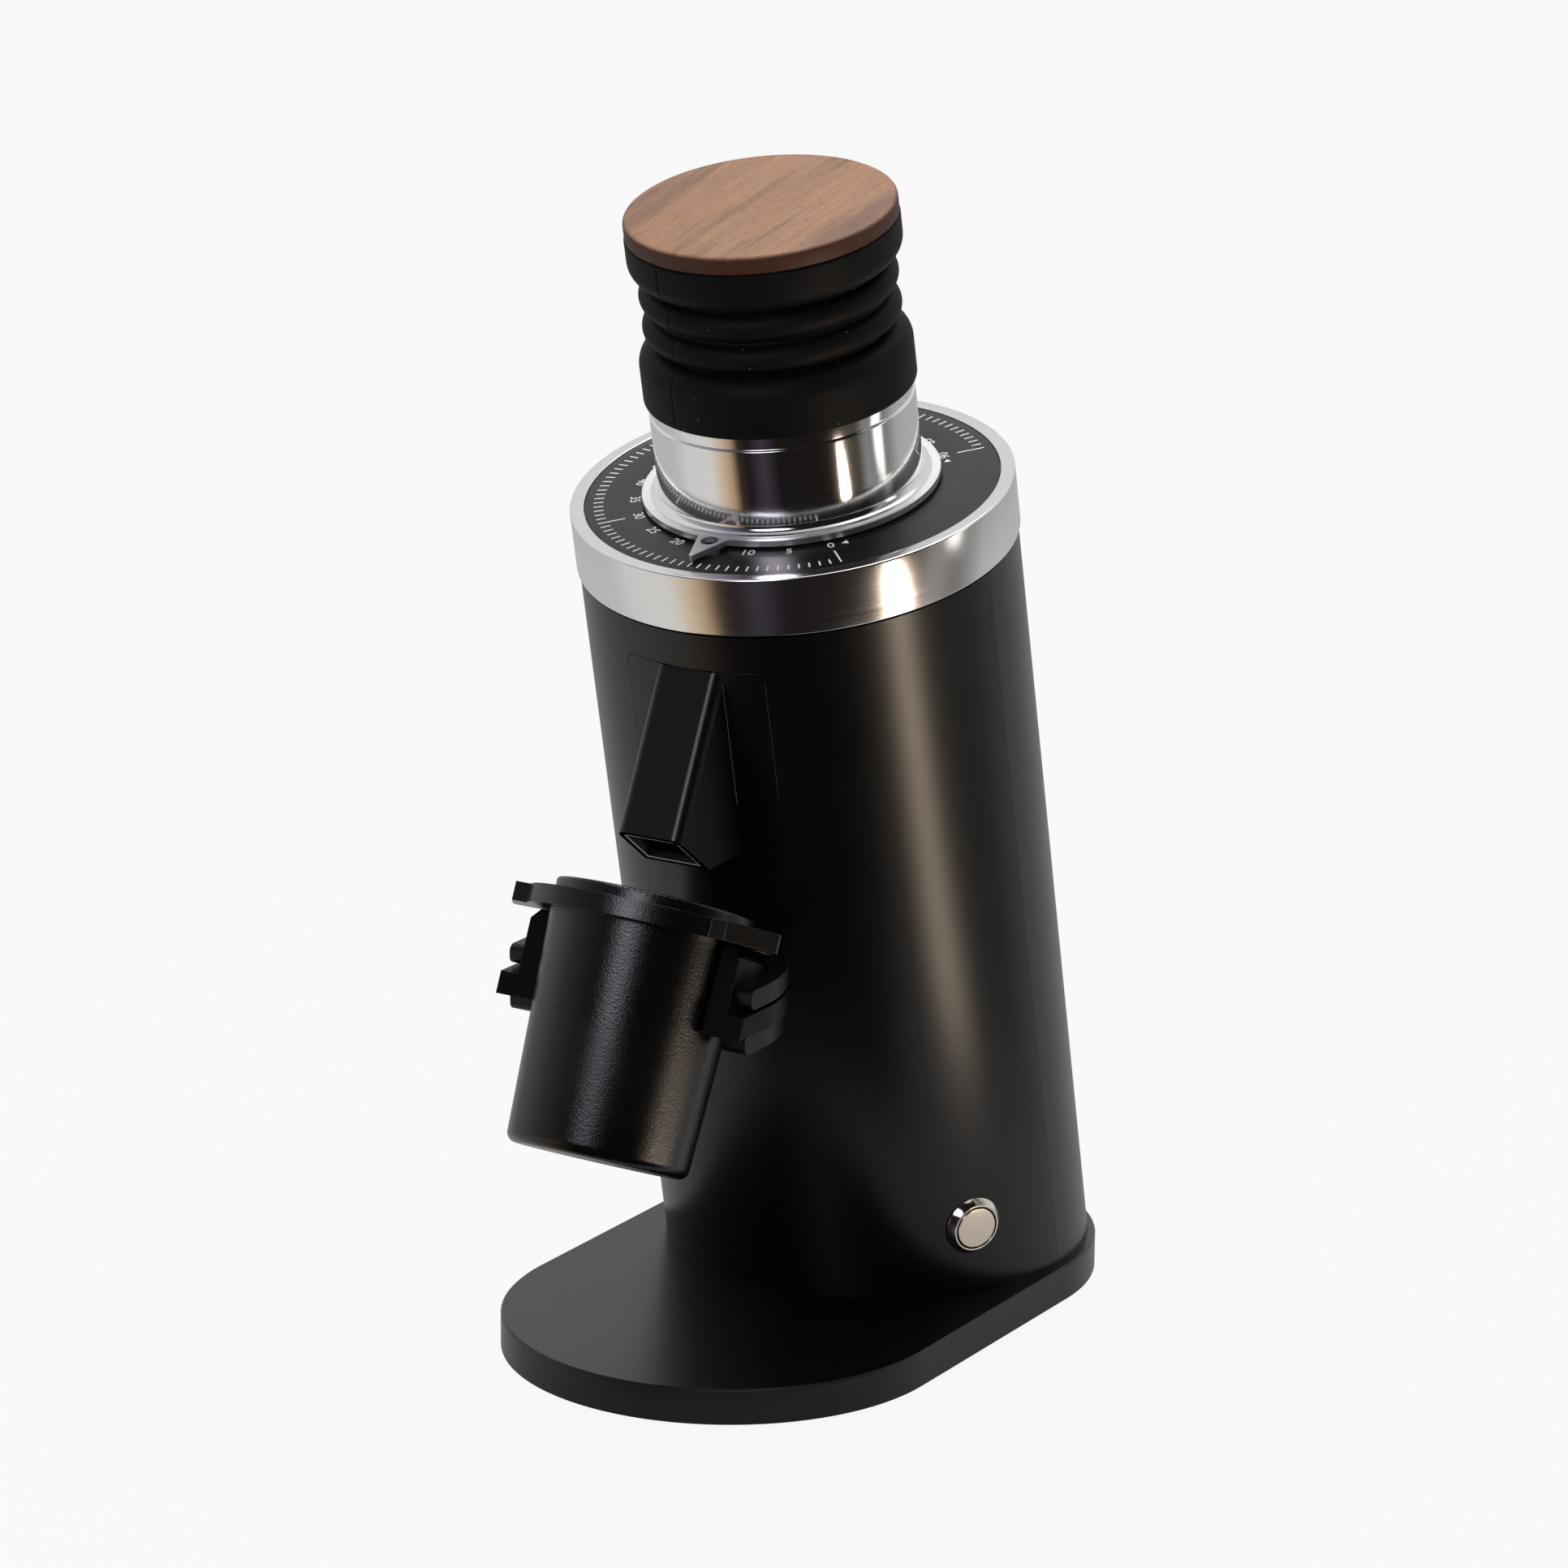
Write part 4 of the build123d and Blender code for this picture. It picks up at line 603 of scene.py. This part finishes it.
def finish_piece(mesh, name, material, body, matrix, replaces=()):
    """Makes a finished object from a bmesh: placed, smooth, riding on its body."""
    bmesh.ops.remove_doubles(mesh, verts=mesh.verts, dist=merge_distance)
    bmesh.ops.recalc_face_normals(mesh, faces=mesh.faces)
    bmesh.ops.transform(mesh, matrix=matrix, verts=mesh.verts)
    data = bpy.data.meshes.new(name)
    mesh.to_mesh(data)
    mesh.free()
    data.shade_smooth()
    data.set_sharp_from_angle(angle=sharp_angle)
    data.materials.append(material)
    piece = bpy.data.objects.new(name, data)
    bpy.context.scene.collection.objects.link(piece)
    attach(piece, body)
    if replaces:
        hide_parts(*replaces)
    print(name, "faces", len(data.polygons))
    return piece


print("edges over", round(degrees(sharp_angle)), "degrees stay sharp")

# %% [markdown]
# Turned pieces are made as on a lathe, from an outline of radius and height. The outline is filled, its
# corners are rounded with a vertex bevel, the face is removed, and the edges are spun all the way round.

# %% Turned pieces
on_axis_limit = 1e-7
spin_steps = 240


def turned(name, outline, material, body, slot, rounding=None, matrix=body_frame, steps=spin_steps,
           replaces=(), seam=None):
    """A piece spun from an outline of (radius, height) points in millimetres."""
    mesh = bmesh.new()
    corners = [mesh.verts.new((radius * mm, 0, height * mm)) for radius, height in outline]
    mesh.faces.new(corners)
    for corner, size in (rounding or {}).items():
        bmesh.ops.bevel(mesh, geom=[corners[corner]], offset=size * mm, segments=4, profile=0.5,
                        affect="VERTICES", material=-1)
    bmesh.ops.delete(mesh, geom=mesh.faces[:], context="FACES_ONLY")
    on_axis = [edge for edge in mesh.edges if all(abs(vert.co.x) < on_axis_limit for vert in edge.verts)]
    bmesh.ops.delete(mesh, geom=on_axis, context="EDGES")
    if seam is not None:
        bmesh.ops.rotate(mesh, verts=mesh.verts, matrix=Matrix.Rotation(seam, 3, "Z"))
    bmesh.ops.spin(mesh, geom=mesh.verts[:] + mesh.edges[:], cent=(0, 0, 0), axis=(0, 0, 1), angle=2 * pi,
                   steps=steps, use_merge=True)
    return finish_piece(mesh, name, material, body, matrix, replaces)


def arc(centre_r, centre_h, radius, start, end, count):
    """Points on an arc in an outline, angles in degrees from outwards."""
    turns = [radians(start + (end - start) * i / count) for i in range(count + 1)]
    return [(centre_r + radius * cos(turn), centre_h + radius * sin(turn)) for turn in turns]


print("outlines are spun in", spin_steps, "steps")

# %% [markdown]
# The collar is a heavy ring of brushed aluminium on top of the tube. Its spigot drops into the tube,
# and its rim stands round the dial, which is a flat black ring let into it.

# %% Collar and dial
spigot_inner, spigot_radius, spigot_low = 45.9, 50.9, 194.3
collar_low, collar_top, collar_radius = 200.3, 215.65, 56.0
rim_inner, ledge_inner, ledge_low = 52.4, 36.08, 205.05
dial_inner, dial_radius, dial_low, dial_top = 36.4, 52.25, 213.35, 215.35
turned("collar", [(spigot_inner, spigot_low), (spigot_radius, spigot_low), (spigot_radius, collar_low),
                  (collar_radius, collar_low), (collar_radius, collar_top), (rim_inner, collar_top),
                  (rim_inner, dial_low), (ledge_inner, dial_low), (ledge_inner, ledge_low),
                  (spigot_inner, ledge_low)],
       collar_metal, "base", "collar_metal", rounding={3: 0.45, 4: 0.45, 5: 0.3}, replaces=["collar_ring"])
turned("dial", [(dial_inner, dial_low), (dial_radius, dial_low), (dial_radius, dial_top),
                (dial_inner, dial_top)],
       dial_black, "base", "dial_black", rounding={2: 0.15, 3: 0.15}, replaces=["dial_plate"])

# %% [markdown]
# The neck turns with the pointer. Its outside is polished, with a narrow band under the bellows and a
# flare that runs out on the pointer's ring. Inside it is a plain throat for the beans above the thread.

# %% Neck
neck_radius, neck_top, throat_radius, throat_low = 33.3, 252.15, 28.4, 204.35
thread_radius, skirt_radius, skirt_low = 32.0, 35.0, 188.35
flange_radius, flange_low, flange_top = 36.0, 201.65, 216.05
groove_radius, groove_low, groove_top = 34.9, 203.65, 204.65
seat_radius, ring_top, flare, flare_lift = 34.4, 217.57, 2.1, 0.1
band_radius, band_start, band_low, band_top, cuff_seat = 32.8, 239.3, 239.75, 242.65, 31.0
neck_outline = [(throat_radius, neck_top), (throat_radius, throat_low), (thread_radius, throat_low),
                (thread_radius, skirt_low), (skirt_radius, skirt_low), (skirt_radius, flange_low),
                (flange_radius, flange_low), (flange_radius, groove_low), (groove_radius, groove_low),
                (groove_radius, groove_top), (flange_radius, groove_top), (flange_radius, flange_top),
                (seat_radius, flange_top), (seat_radius, ring_top), (neck_radius + flare, ring_top)]
neck_outline += arc(neck_radius + flare, ring_top + flare + flare_lift, flare, 270, 180, 10)
neck_band = len(neck_outline)
neck_outline += [(neck_radius, band_start), (band_radius, band_low), (band_radius, band_top),
                 (cuff_seat, band_top), (cuff_seat, neck_top)]
turned("neck", neck_outline, neck_metal, "adjuster", "neck_metal",
       rounding={0: 0.5, neck_band: 0.12, neck_band + 1: 0.12, neck_band + 2: 0.15, neck_band + 4: 0.3},
       replaces=["adjuster_neck"])

# %% [markdown]
# White ticks on the dial, one every three degrees and a longer one at the thirties, with a small
# triangle at each end. They are printed on the real dial. Here they are thin blocks a hair above the
# face, which stay crisp at any distance and need no picture.

# %% Dial ticks
tick_step, zero_angle, tick_count, long_every = radians(-3), radians(45), 90, 30
ink_rise, ink_thick = 0.02, 0.04
tick_outer, short_tick, long_tick, tick_width = 50.0, 2.5, 7.0, 0.42
number_radius, triangle_size, triangle_turn = 39.6, 1.1, radians(5.5)


def on_dial(angle, radius):
    """A place on the dial's face, turned so that up points to the middle."""
    return Matrix.Rotation(angle, 4, "Z") @ Matrix.Translation((0, -radius * mm, (dial_top + ink_rise) * mm))


marks = bmesh.new()
for number in range(tick_count + 1):
    length = long_tick if number % long_every == 0 else short_tick
    tick_size = Matrix.Diagonal((tick_width * mm, length * mm, ink_thick * mm, 1))
    place = on_dial(zero_angle + number * tick_step, tick_outer - length / 2)
    bmesh.ops.create_cube(marks, size=1.0, matrix=place @ tick_size)
last_angle_on_dial = zero_angle + tick_count * tick_step
for angle, pointing in ((zero_angle + triangle_turn, 1), (last_angle_on_dial - triangle_turn, -1)):
    place = on_dial(angle, number_radius) @ Matrix.Rotation(pointing * pi / 2, 4, "Z")
    bmesh.ops.create_cone(marks, cap_ends=True, segments=3, radius1=triangle_size * mm,
                          radius2=triangle_size * mm, depth=ink_thick * mm, matrix=place)
finish_piece(marks, "dial_ticks", white_print, "base", body_frame)

# %% [markdown]
# Plain numbers stand at every fifth tick. Each starts as a text object, which Blender fills and
# extrudes, and becomes a mesh before it is set on the dial. All of them are collected in one piece.

# %% Dial numbers
number_step = 5
letter_size = 3.78
numbers = bmesh.new()
depsgraph = bpy.context.evaluated_depsgraph_get()
for number in range(0, tick_count + 1, number_step):
    words = bpy.data.curves.new("number", "FONT")
    words.body = str(number)
    words.size = letter_size * mm
    words.align_x = "CENTER"
    words.align_y = "CENTER"
    words.extrude = ink_thick / 2 * mm
    writer = bpy.data.objects.new("number", words)
    bpy.context.scene.collection.objects.link(writer)
    depsgraph.update()
    digits = bpy.data.meshes.new_from_object(writer.evaluated_get(depsgraph))
    digits.transform(on_dial(zero_angle + number * tick_step, number_radius))
    numbers.from_mesh(digits)
    bpy.data.objects.remove(writer)
    bpy.data.meshes.remove(digits)
    bpy.data.curves.remove(words)
finish_piece(numbers, "dial_numbers", white_print, "base", body_frame)

# %% [markdown]
# The bellows is one rubber moulding. It is modelled as three pieces that meet at the bottoms of its
# folds: the cuff and the folds ride on the bellows' body, and the top goes with the lid. The moulding's
# parting line is a shallow groove. It could be a bump, but it shows on the outline, so one line of the
# spun mesh is bevelled and pressed in.

# %% Rubber with a parting line
bellows_radius, root_radius, soft_wall = 34.2, 28.8, 1.8
first_root, last_root = 258.2, 274.8
parting_angle = radians(-107.6)
parting_depth, parting_width = 0.25, 0.3
line_tolerance, root_allowance, least_outward = 0.001, 0.1, 0.15


def soft_piece(name, outline, body, **options):
    """A turned rubber piece with the parting line pressed into one column."""
    piece = turned(name, outline, silicone.material, body, "silicone", seam=parting_angle, **options)
    line = (body_frame.to_3x3() @ Vector((cos(parting_angle), sin(parting_angle), 0))).normalized()
    across = axis_up.cross(line)

    def on_line(vert):
        place = vert.co - body_foot
        near_line = abs(place.dot(across)) < line_tolerance * mm
        outside = place.dot(line) > (root_radius - root_allowance) * mm
        return near_line and outside and vert.normal.dot(line) > least_outward

    mesh = bmesh.new()
    mesh.from_mesh(piece.data)
    seam_edges = [edge for edge in mesh.edges if all(on_line(vert) for vert in edge.verts)]
    bmesh.ops.bevel(mesh, geom=seam_edges, offset=parting_width / 2 * mm, segments=2, profile=0.5,
                    affect="EDGES", material=-1)
    pressed = [vert for vert in mesh.verts if on_line(vert)]
    bmesh.ops.translate(mesh, vec=-line * parting_depth * mm, verts=pressed)
    mesh.to_mesh(piece.data)
    mesh.free()
    return piece


print("parting line at", round(degrees(parting_angle), 1), "degrees")

# %% [markdown]
# The cuff grips the neck. Its foot has a small round edge, and its shoulder is a quarter circle that
# runs in to the first root. A narrow slit is left there, where the real rubber folds on itself.

# %% Bellows cuff
cuff_low, cuff_bore, cuff_step, cuff_rounding, slit = 242.8, 31.15, 253.95, 0.9, 0.4
shoulder = bellows_radius - root_radius
cuff_outline = [(cuff_bore, cuff_low)]
cuff_outline += arc(bellows_radius - cuff_rounding, cuff_low + cuff_rounding, cuff_rounding, -90, 0, 6)
cuff_outline += arc(root_radius, first_root - slit - shoulder, shoulder, 0, 90, 14)
cuff_outline += [(root_radius, first_root), (root_radius - soft_wall, first_root), (cuff_bore, cuff_step)]
soft_piece("bellows_cuff", cuff_outline, "bellows_body", replaces=["bellows"])

# %% [markdown]
# Two round folds lie between the roots. On each of them three arcs run into each other without a
# corner: a small one out of the root, a large one over the crest, and a small one back.

# %% Bellows folds
fold_count, fold_reach, root_arc = 2, 32.3, 0.9
inner_arc, inner_sweep = 2.4, 88
fold_height = (last_root - first_root) / fold_count
bulge = fold_reach - root_radius
arc_sum = ((fold_height / 2) ** 2 + bulge ** 2) / (2 * bulge)
fold_arc = arc_sum - root_arc
fold_span = degrees(atan2(fold_height / 2, arc_sum - bulge))
root_centre = root_radius + root_arc
fold_outline = []
for fold in range(fold_count):
    low_root = first_root + fold * fold_height
    crest = low_root + fold_height / 2
    fold_outline += arc(root_centre, low_root, root_arc, 180, 180 - fold_span, 6)
    fold_outline += arc(fold_reach - fold_arc, crest, fold_arc, -fold_span, fold_span, 18)[1:-1]
    fold_outline += arc(root_centre, low_root + fold_height, root_arc, 180 + fold_span, 180, 6)[:-1]
fold_outline += [(root_radius, last_root), (root_radius - soft_wall, last_root)]
for fold in reversed(range(fold_count)):
    crest = first_root + (fold + 0.5) * fold_height
    fold_outline += arc(fold_reach - soft_wall - inner_arc, crest, inner_arc, inner_sweep, -inner_sweep, 10)
    fold_outline += [(root_radius - soft_wall, first_root + fold * fold_height)]
fold_piece = soft_piece("bellows_folds", fold_outline, "bellows_body", replaces=["bellows"])
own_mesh(fold_piece)

# %% [markdown]
# The top swells from the last root to the full width and holds the lid. Its curve is a quarter of an
# ellipse, flatter than the cuff's shoulder, and a step inside takes the lid's plug.

# %% Bellows top
bellows_top, top_rise, top_edge, socket_depth = 286.0, 5.2, 0.4, 5.0
top_turns = [radians(step) for step in range(0, 91, 9)]
top_outline = [(root_radius, last_root)]
top_outline += [(root_radius + shoulder * sin(turn), last_root + slit + top_rise * (1 - cos(turn)))
                for turn in top_turns]
top_outline += [(bellows_radius, bellows_top - top_edge), (bellows_radius - top_edge, bellows_top),
                (root_radius, bellows_top), (root_radius, bellows_top - socket_depth),
                (root_radius - soft_wall, bellows_top - socket_depth), (root_radius - soft_wall, last_root)]
soft_piece("bellows_top", top_outline, "lid")

# %% [markdown]
# The lid is a disc of walnut with a rounded edge and a plug underneath that holds it in the bellows.
# It is turned in one piece, so the plug and the disc share an outline.

# %% Lid
lid_low, lid_radius, plug_radius, plug_depth = 286.1, 34.0, 28.65, 5.0
turned("lid", [(0, lid_low - plug_depth), (plug_radius, lid_low - plug_depth), (plug_radius, lid_low),
               (lid_radius, lid_low), (lid_radius, lid_top), (0, lid_top)],
       walnut.material, "lid", "walnut", rounding={3: 0.7, 4: 1.2}, replaces=["wood_lid"])

# %% [markdown]
# The spout's cut end gets a skin of sheenless black, which is painted shade. A grid face gets two
# rounded corners, an inset leaves a ring of it, and the ring is extruded by a twentieth of a millimetre.

# %% Spout lip
# Painted shade: a flat black with no sheen keeps the spout's cut end dark.
lip_shade_black = black_coat("lip_shade_black", (0.0015, 0.0015, 0.0016), roughness=0.6, grain=1500,
                       depth=0.02 * mm, gloss=0.0)
mouth_front = Vector((0, -81.3, 156.5)) * mm
mouth_back = Vector((0, -70.0, 143.2)) * mm
mouth_out = Vector((1, 0, 0)).cross(mouth_front - mouth_back)
mouth_frame = body_frame @ frame_on((mouth_front + mouth_back) / 2, mouth_out)
spout_width, spout_rounding, lip_width, lip_rise, lip_margin = 18.7, 3.1, 1.35, 0.05, 0.1
lip_length = (mouth_front - mouth_back).length - lip_margin * mm
lip_mesh = bmesh.new()
bmesh.ops.create_grid(lip_mesh, x_segments=1, y_segments=1, size=0.5)
bmesh.ops.scale(lip_mesh, vec=Vector((spout_width * mm, lip_length, 1.0)), verts=lip_mesh.verts)
front_corners = [vert for vert in lip_mesh.verts if vert.co.y > 0]
bmesh.ops.bevel(lip_mesh, geom=front_corners, offset=spout_rounding * mm, segments=5, profile=0.5,
                affect="VERTICES", material=-1)
lip_ring = bmesh.ops.inset_region(lip_mesh, faces=lip_mesh.faces[:], thickness=lip_width * mm,
                                  use_boundary=True, use_even_offset=True)["faces"]
inside_ring = [face for face in lip_mesh.faces if face not in lip_ring]
bmesh.ops.delete(lip_mesh, geom=inside_ring, context="FACES")
lifted = bmesh.ops.extrude_face_region(lip_mesh, geom=lip_mesh.faces[:], use_keep_orig=True)["geom"]
lifted_verts = [item for item in lifted if isinstance(item, bmesh.types.BMVert)]
bmesh.ops.translate(lip_mesh, vec=(0, 0, lip_rise * mm), verts=lifted_verts)
finish_piece(lip_mesh, "chute_lip", lip_shade_black, "base", mouth_frame)

# %% [markdown]
# Inside the lip sits a thin metal liner. It is blackened, and bright only along its top edge. Both are
# on one solid, so its finish changes with the depth below the mouth.

# %% Spout liner
bright_depth = 0.15
liner_black, liner_bright = (0.0015, 0.0015, 0.0016), (0.75, 0.73, 0.70)
liner_finish = Finish("bright_edge")
liner_rise = liner_finish.parts(liner_finish.local(mouth_frame))[2]
liner_top_band = (liner_rise > -bright_depth * mm) * (0.7 + 0.3 * liner_finish.noise(400, 2))
liner_finish.set(Base_Color=liner_finish.blend(liner_top_band, liner_black, liner_bright),
                 Metallic=0.55 * liner_top_band, Roughness=0.6 - 0.3 * liner_top_band)
print("liner bright to", bright_depth, "mm below the mouth")

# %% [markdown]
# The spout is coated like the body. Its flat sides get painted shade: a mask finds them by their place,
# and a metallic blue-black there mirrors less than the coat, so they look duller than the round roof.
# The edges are softened by a Bevel node, so that they catch a thin line of light.

# %% Spout coat
tube_radius, tube_margin, side_margin = 55.4, 0.4, 0.15
flank_shade_black = (0.016, 0.0225, 0.026)
spout_coat = Finish("spout_coat", Specular_IOR_Level=body_gloss)
spout_x, spout_y = spout_coat.parts(spout_coat.local())[:2]
outside_tube = (spout_x * spout_x + spout_y * spout_y) ** 0.5 > (tube_radius + tube_margin) * mm
shaded_flank = outside_tube * (spout_x * spout_x > ((spout_width / 2 - side_margin) * mm) ** 2)
spout_skin = spout_coat.noise(body_grain, 3)
# Painted shade: the spout's flat sides mirror less, in a blue-black, than the coat on its roof.
spout_coat.set(Base_Color=spout_coat.blend(shaded_flank, body_colour, flank_shade_black), Metallic=shaded_flank,
               Roughness=0.275 + 0.05 * spout_skin)
spout_coat.bump(spout_skin, body_skin, edge=0.35)
print("spout coat", spout_coat.material.name)

# %% [markdown]
# The button is a polished bezel round a cap that was faced on a lathe. Both are turned about the
# button's own axis, which its joint gives. Its place comes from the seal under the bezel.

# %% Button
seal_half = 0.25
barrel_inner, barrel_radius, barrel_low = 5.85, 6.4, -20.0
bezel_radius, bezel_low, bezel_edge, bezel_top, bezel_lip = 7.7, 0.5, 0.65, 2.4, 6.3
cap_radius, cap_low, cap_top = 5.45, -3.5, 2.5
button_steps = 96
button_out = -Vector(joint("button_press")["axis"])
seal_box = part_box("button_seal")
button_middle = (seal_box[0] + seal_box[1]) / 2 - seal_half * mm * button_out
button_frame = frame_on(button_middle, button_out, axis_up)
button_chrome = turned_metal("button_chrome", (0.80, 0.74, 0.66), 0.08, button_frame,
                             line_depth=0.0005 * mm)
button_face = turned_metal("button_face", (0.90, 0.80, 0.66), 0.22, button_frame,
                           line_depth=0.008 * mm, lines=9000)
turned("bezel", [(barrel_inner, barrel_low), (barrel_radius, barrel_low), (barrel_radius, bezel_low),
                 (bezel_radius, bezel_low), (bezel_radius, bezel_edge), (bezel_lip, bezel_top),
                 (barrel_inner, bezel_top)],
       button_chrome, "base", "button_metal", rounding={4: 0.06, 5: 0.12, 6: 0.12}, matrix=button_frame,
       steps=button_steps, replaces=["button_bezel"])
turned("cap", [(0, cap_low), (cap_radius, cap_low), (cap_radius, cap_top), (0, cap_top)],
       button_face, "button", "button_metal", rounding={2: 0.3}, matrix=button_frame,
       steps=button_steps, replaces=["button_cap"])

# %% [markdown]
# The other solids keep their shape. Each gets the finish that its record names, so a new solid is
# dressed without a new line here. Two of them differ from their group: the pointer's ring is satin, and
# the chute has the spout's own coat.

# %% Finishes for the solids that stay
finish_of_slot = {
    "body_black": satin_black, "collar_metal": inner_metal, "neck_metal": neck_metal,
    "dial_black": dial_black, "silicone": silicone.material, "walnut": walnut.material,
    "cup_black": anodised_black, "fork_black": matt_black, "grip_rubber": moulded_black,
    "bright_edge": liner_finish.material, "button_metal": button_chrome, "foot_rubber": foot_rubber,
    "plastic_black": moulded_black, "steel": zinc_steel, "burr_steel": burr_steel,
    "motor_metal": grey_casting, "copper": enamelled_copper, "board_green": board_green,
    "pin_metal": nickel,
}
for subpart in frame["record"]["subparts"]:
    data = nodes[subpart["node"]].data
    data.materials.clear()
    data.materials.append(finish_of_slot[subpart["material_slot"]])
nodes["pointer_ring"].data.materials[0] = ring_metal
nodes["chute"].data.materials[0] = spout_coat.material
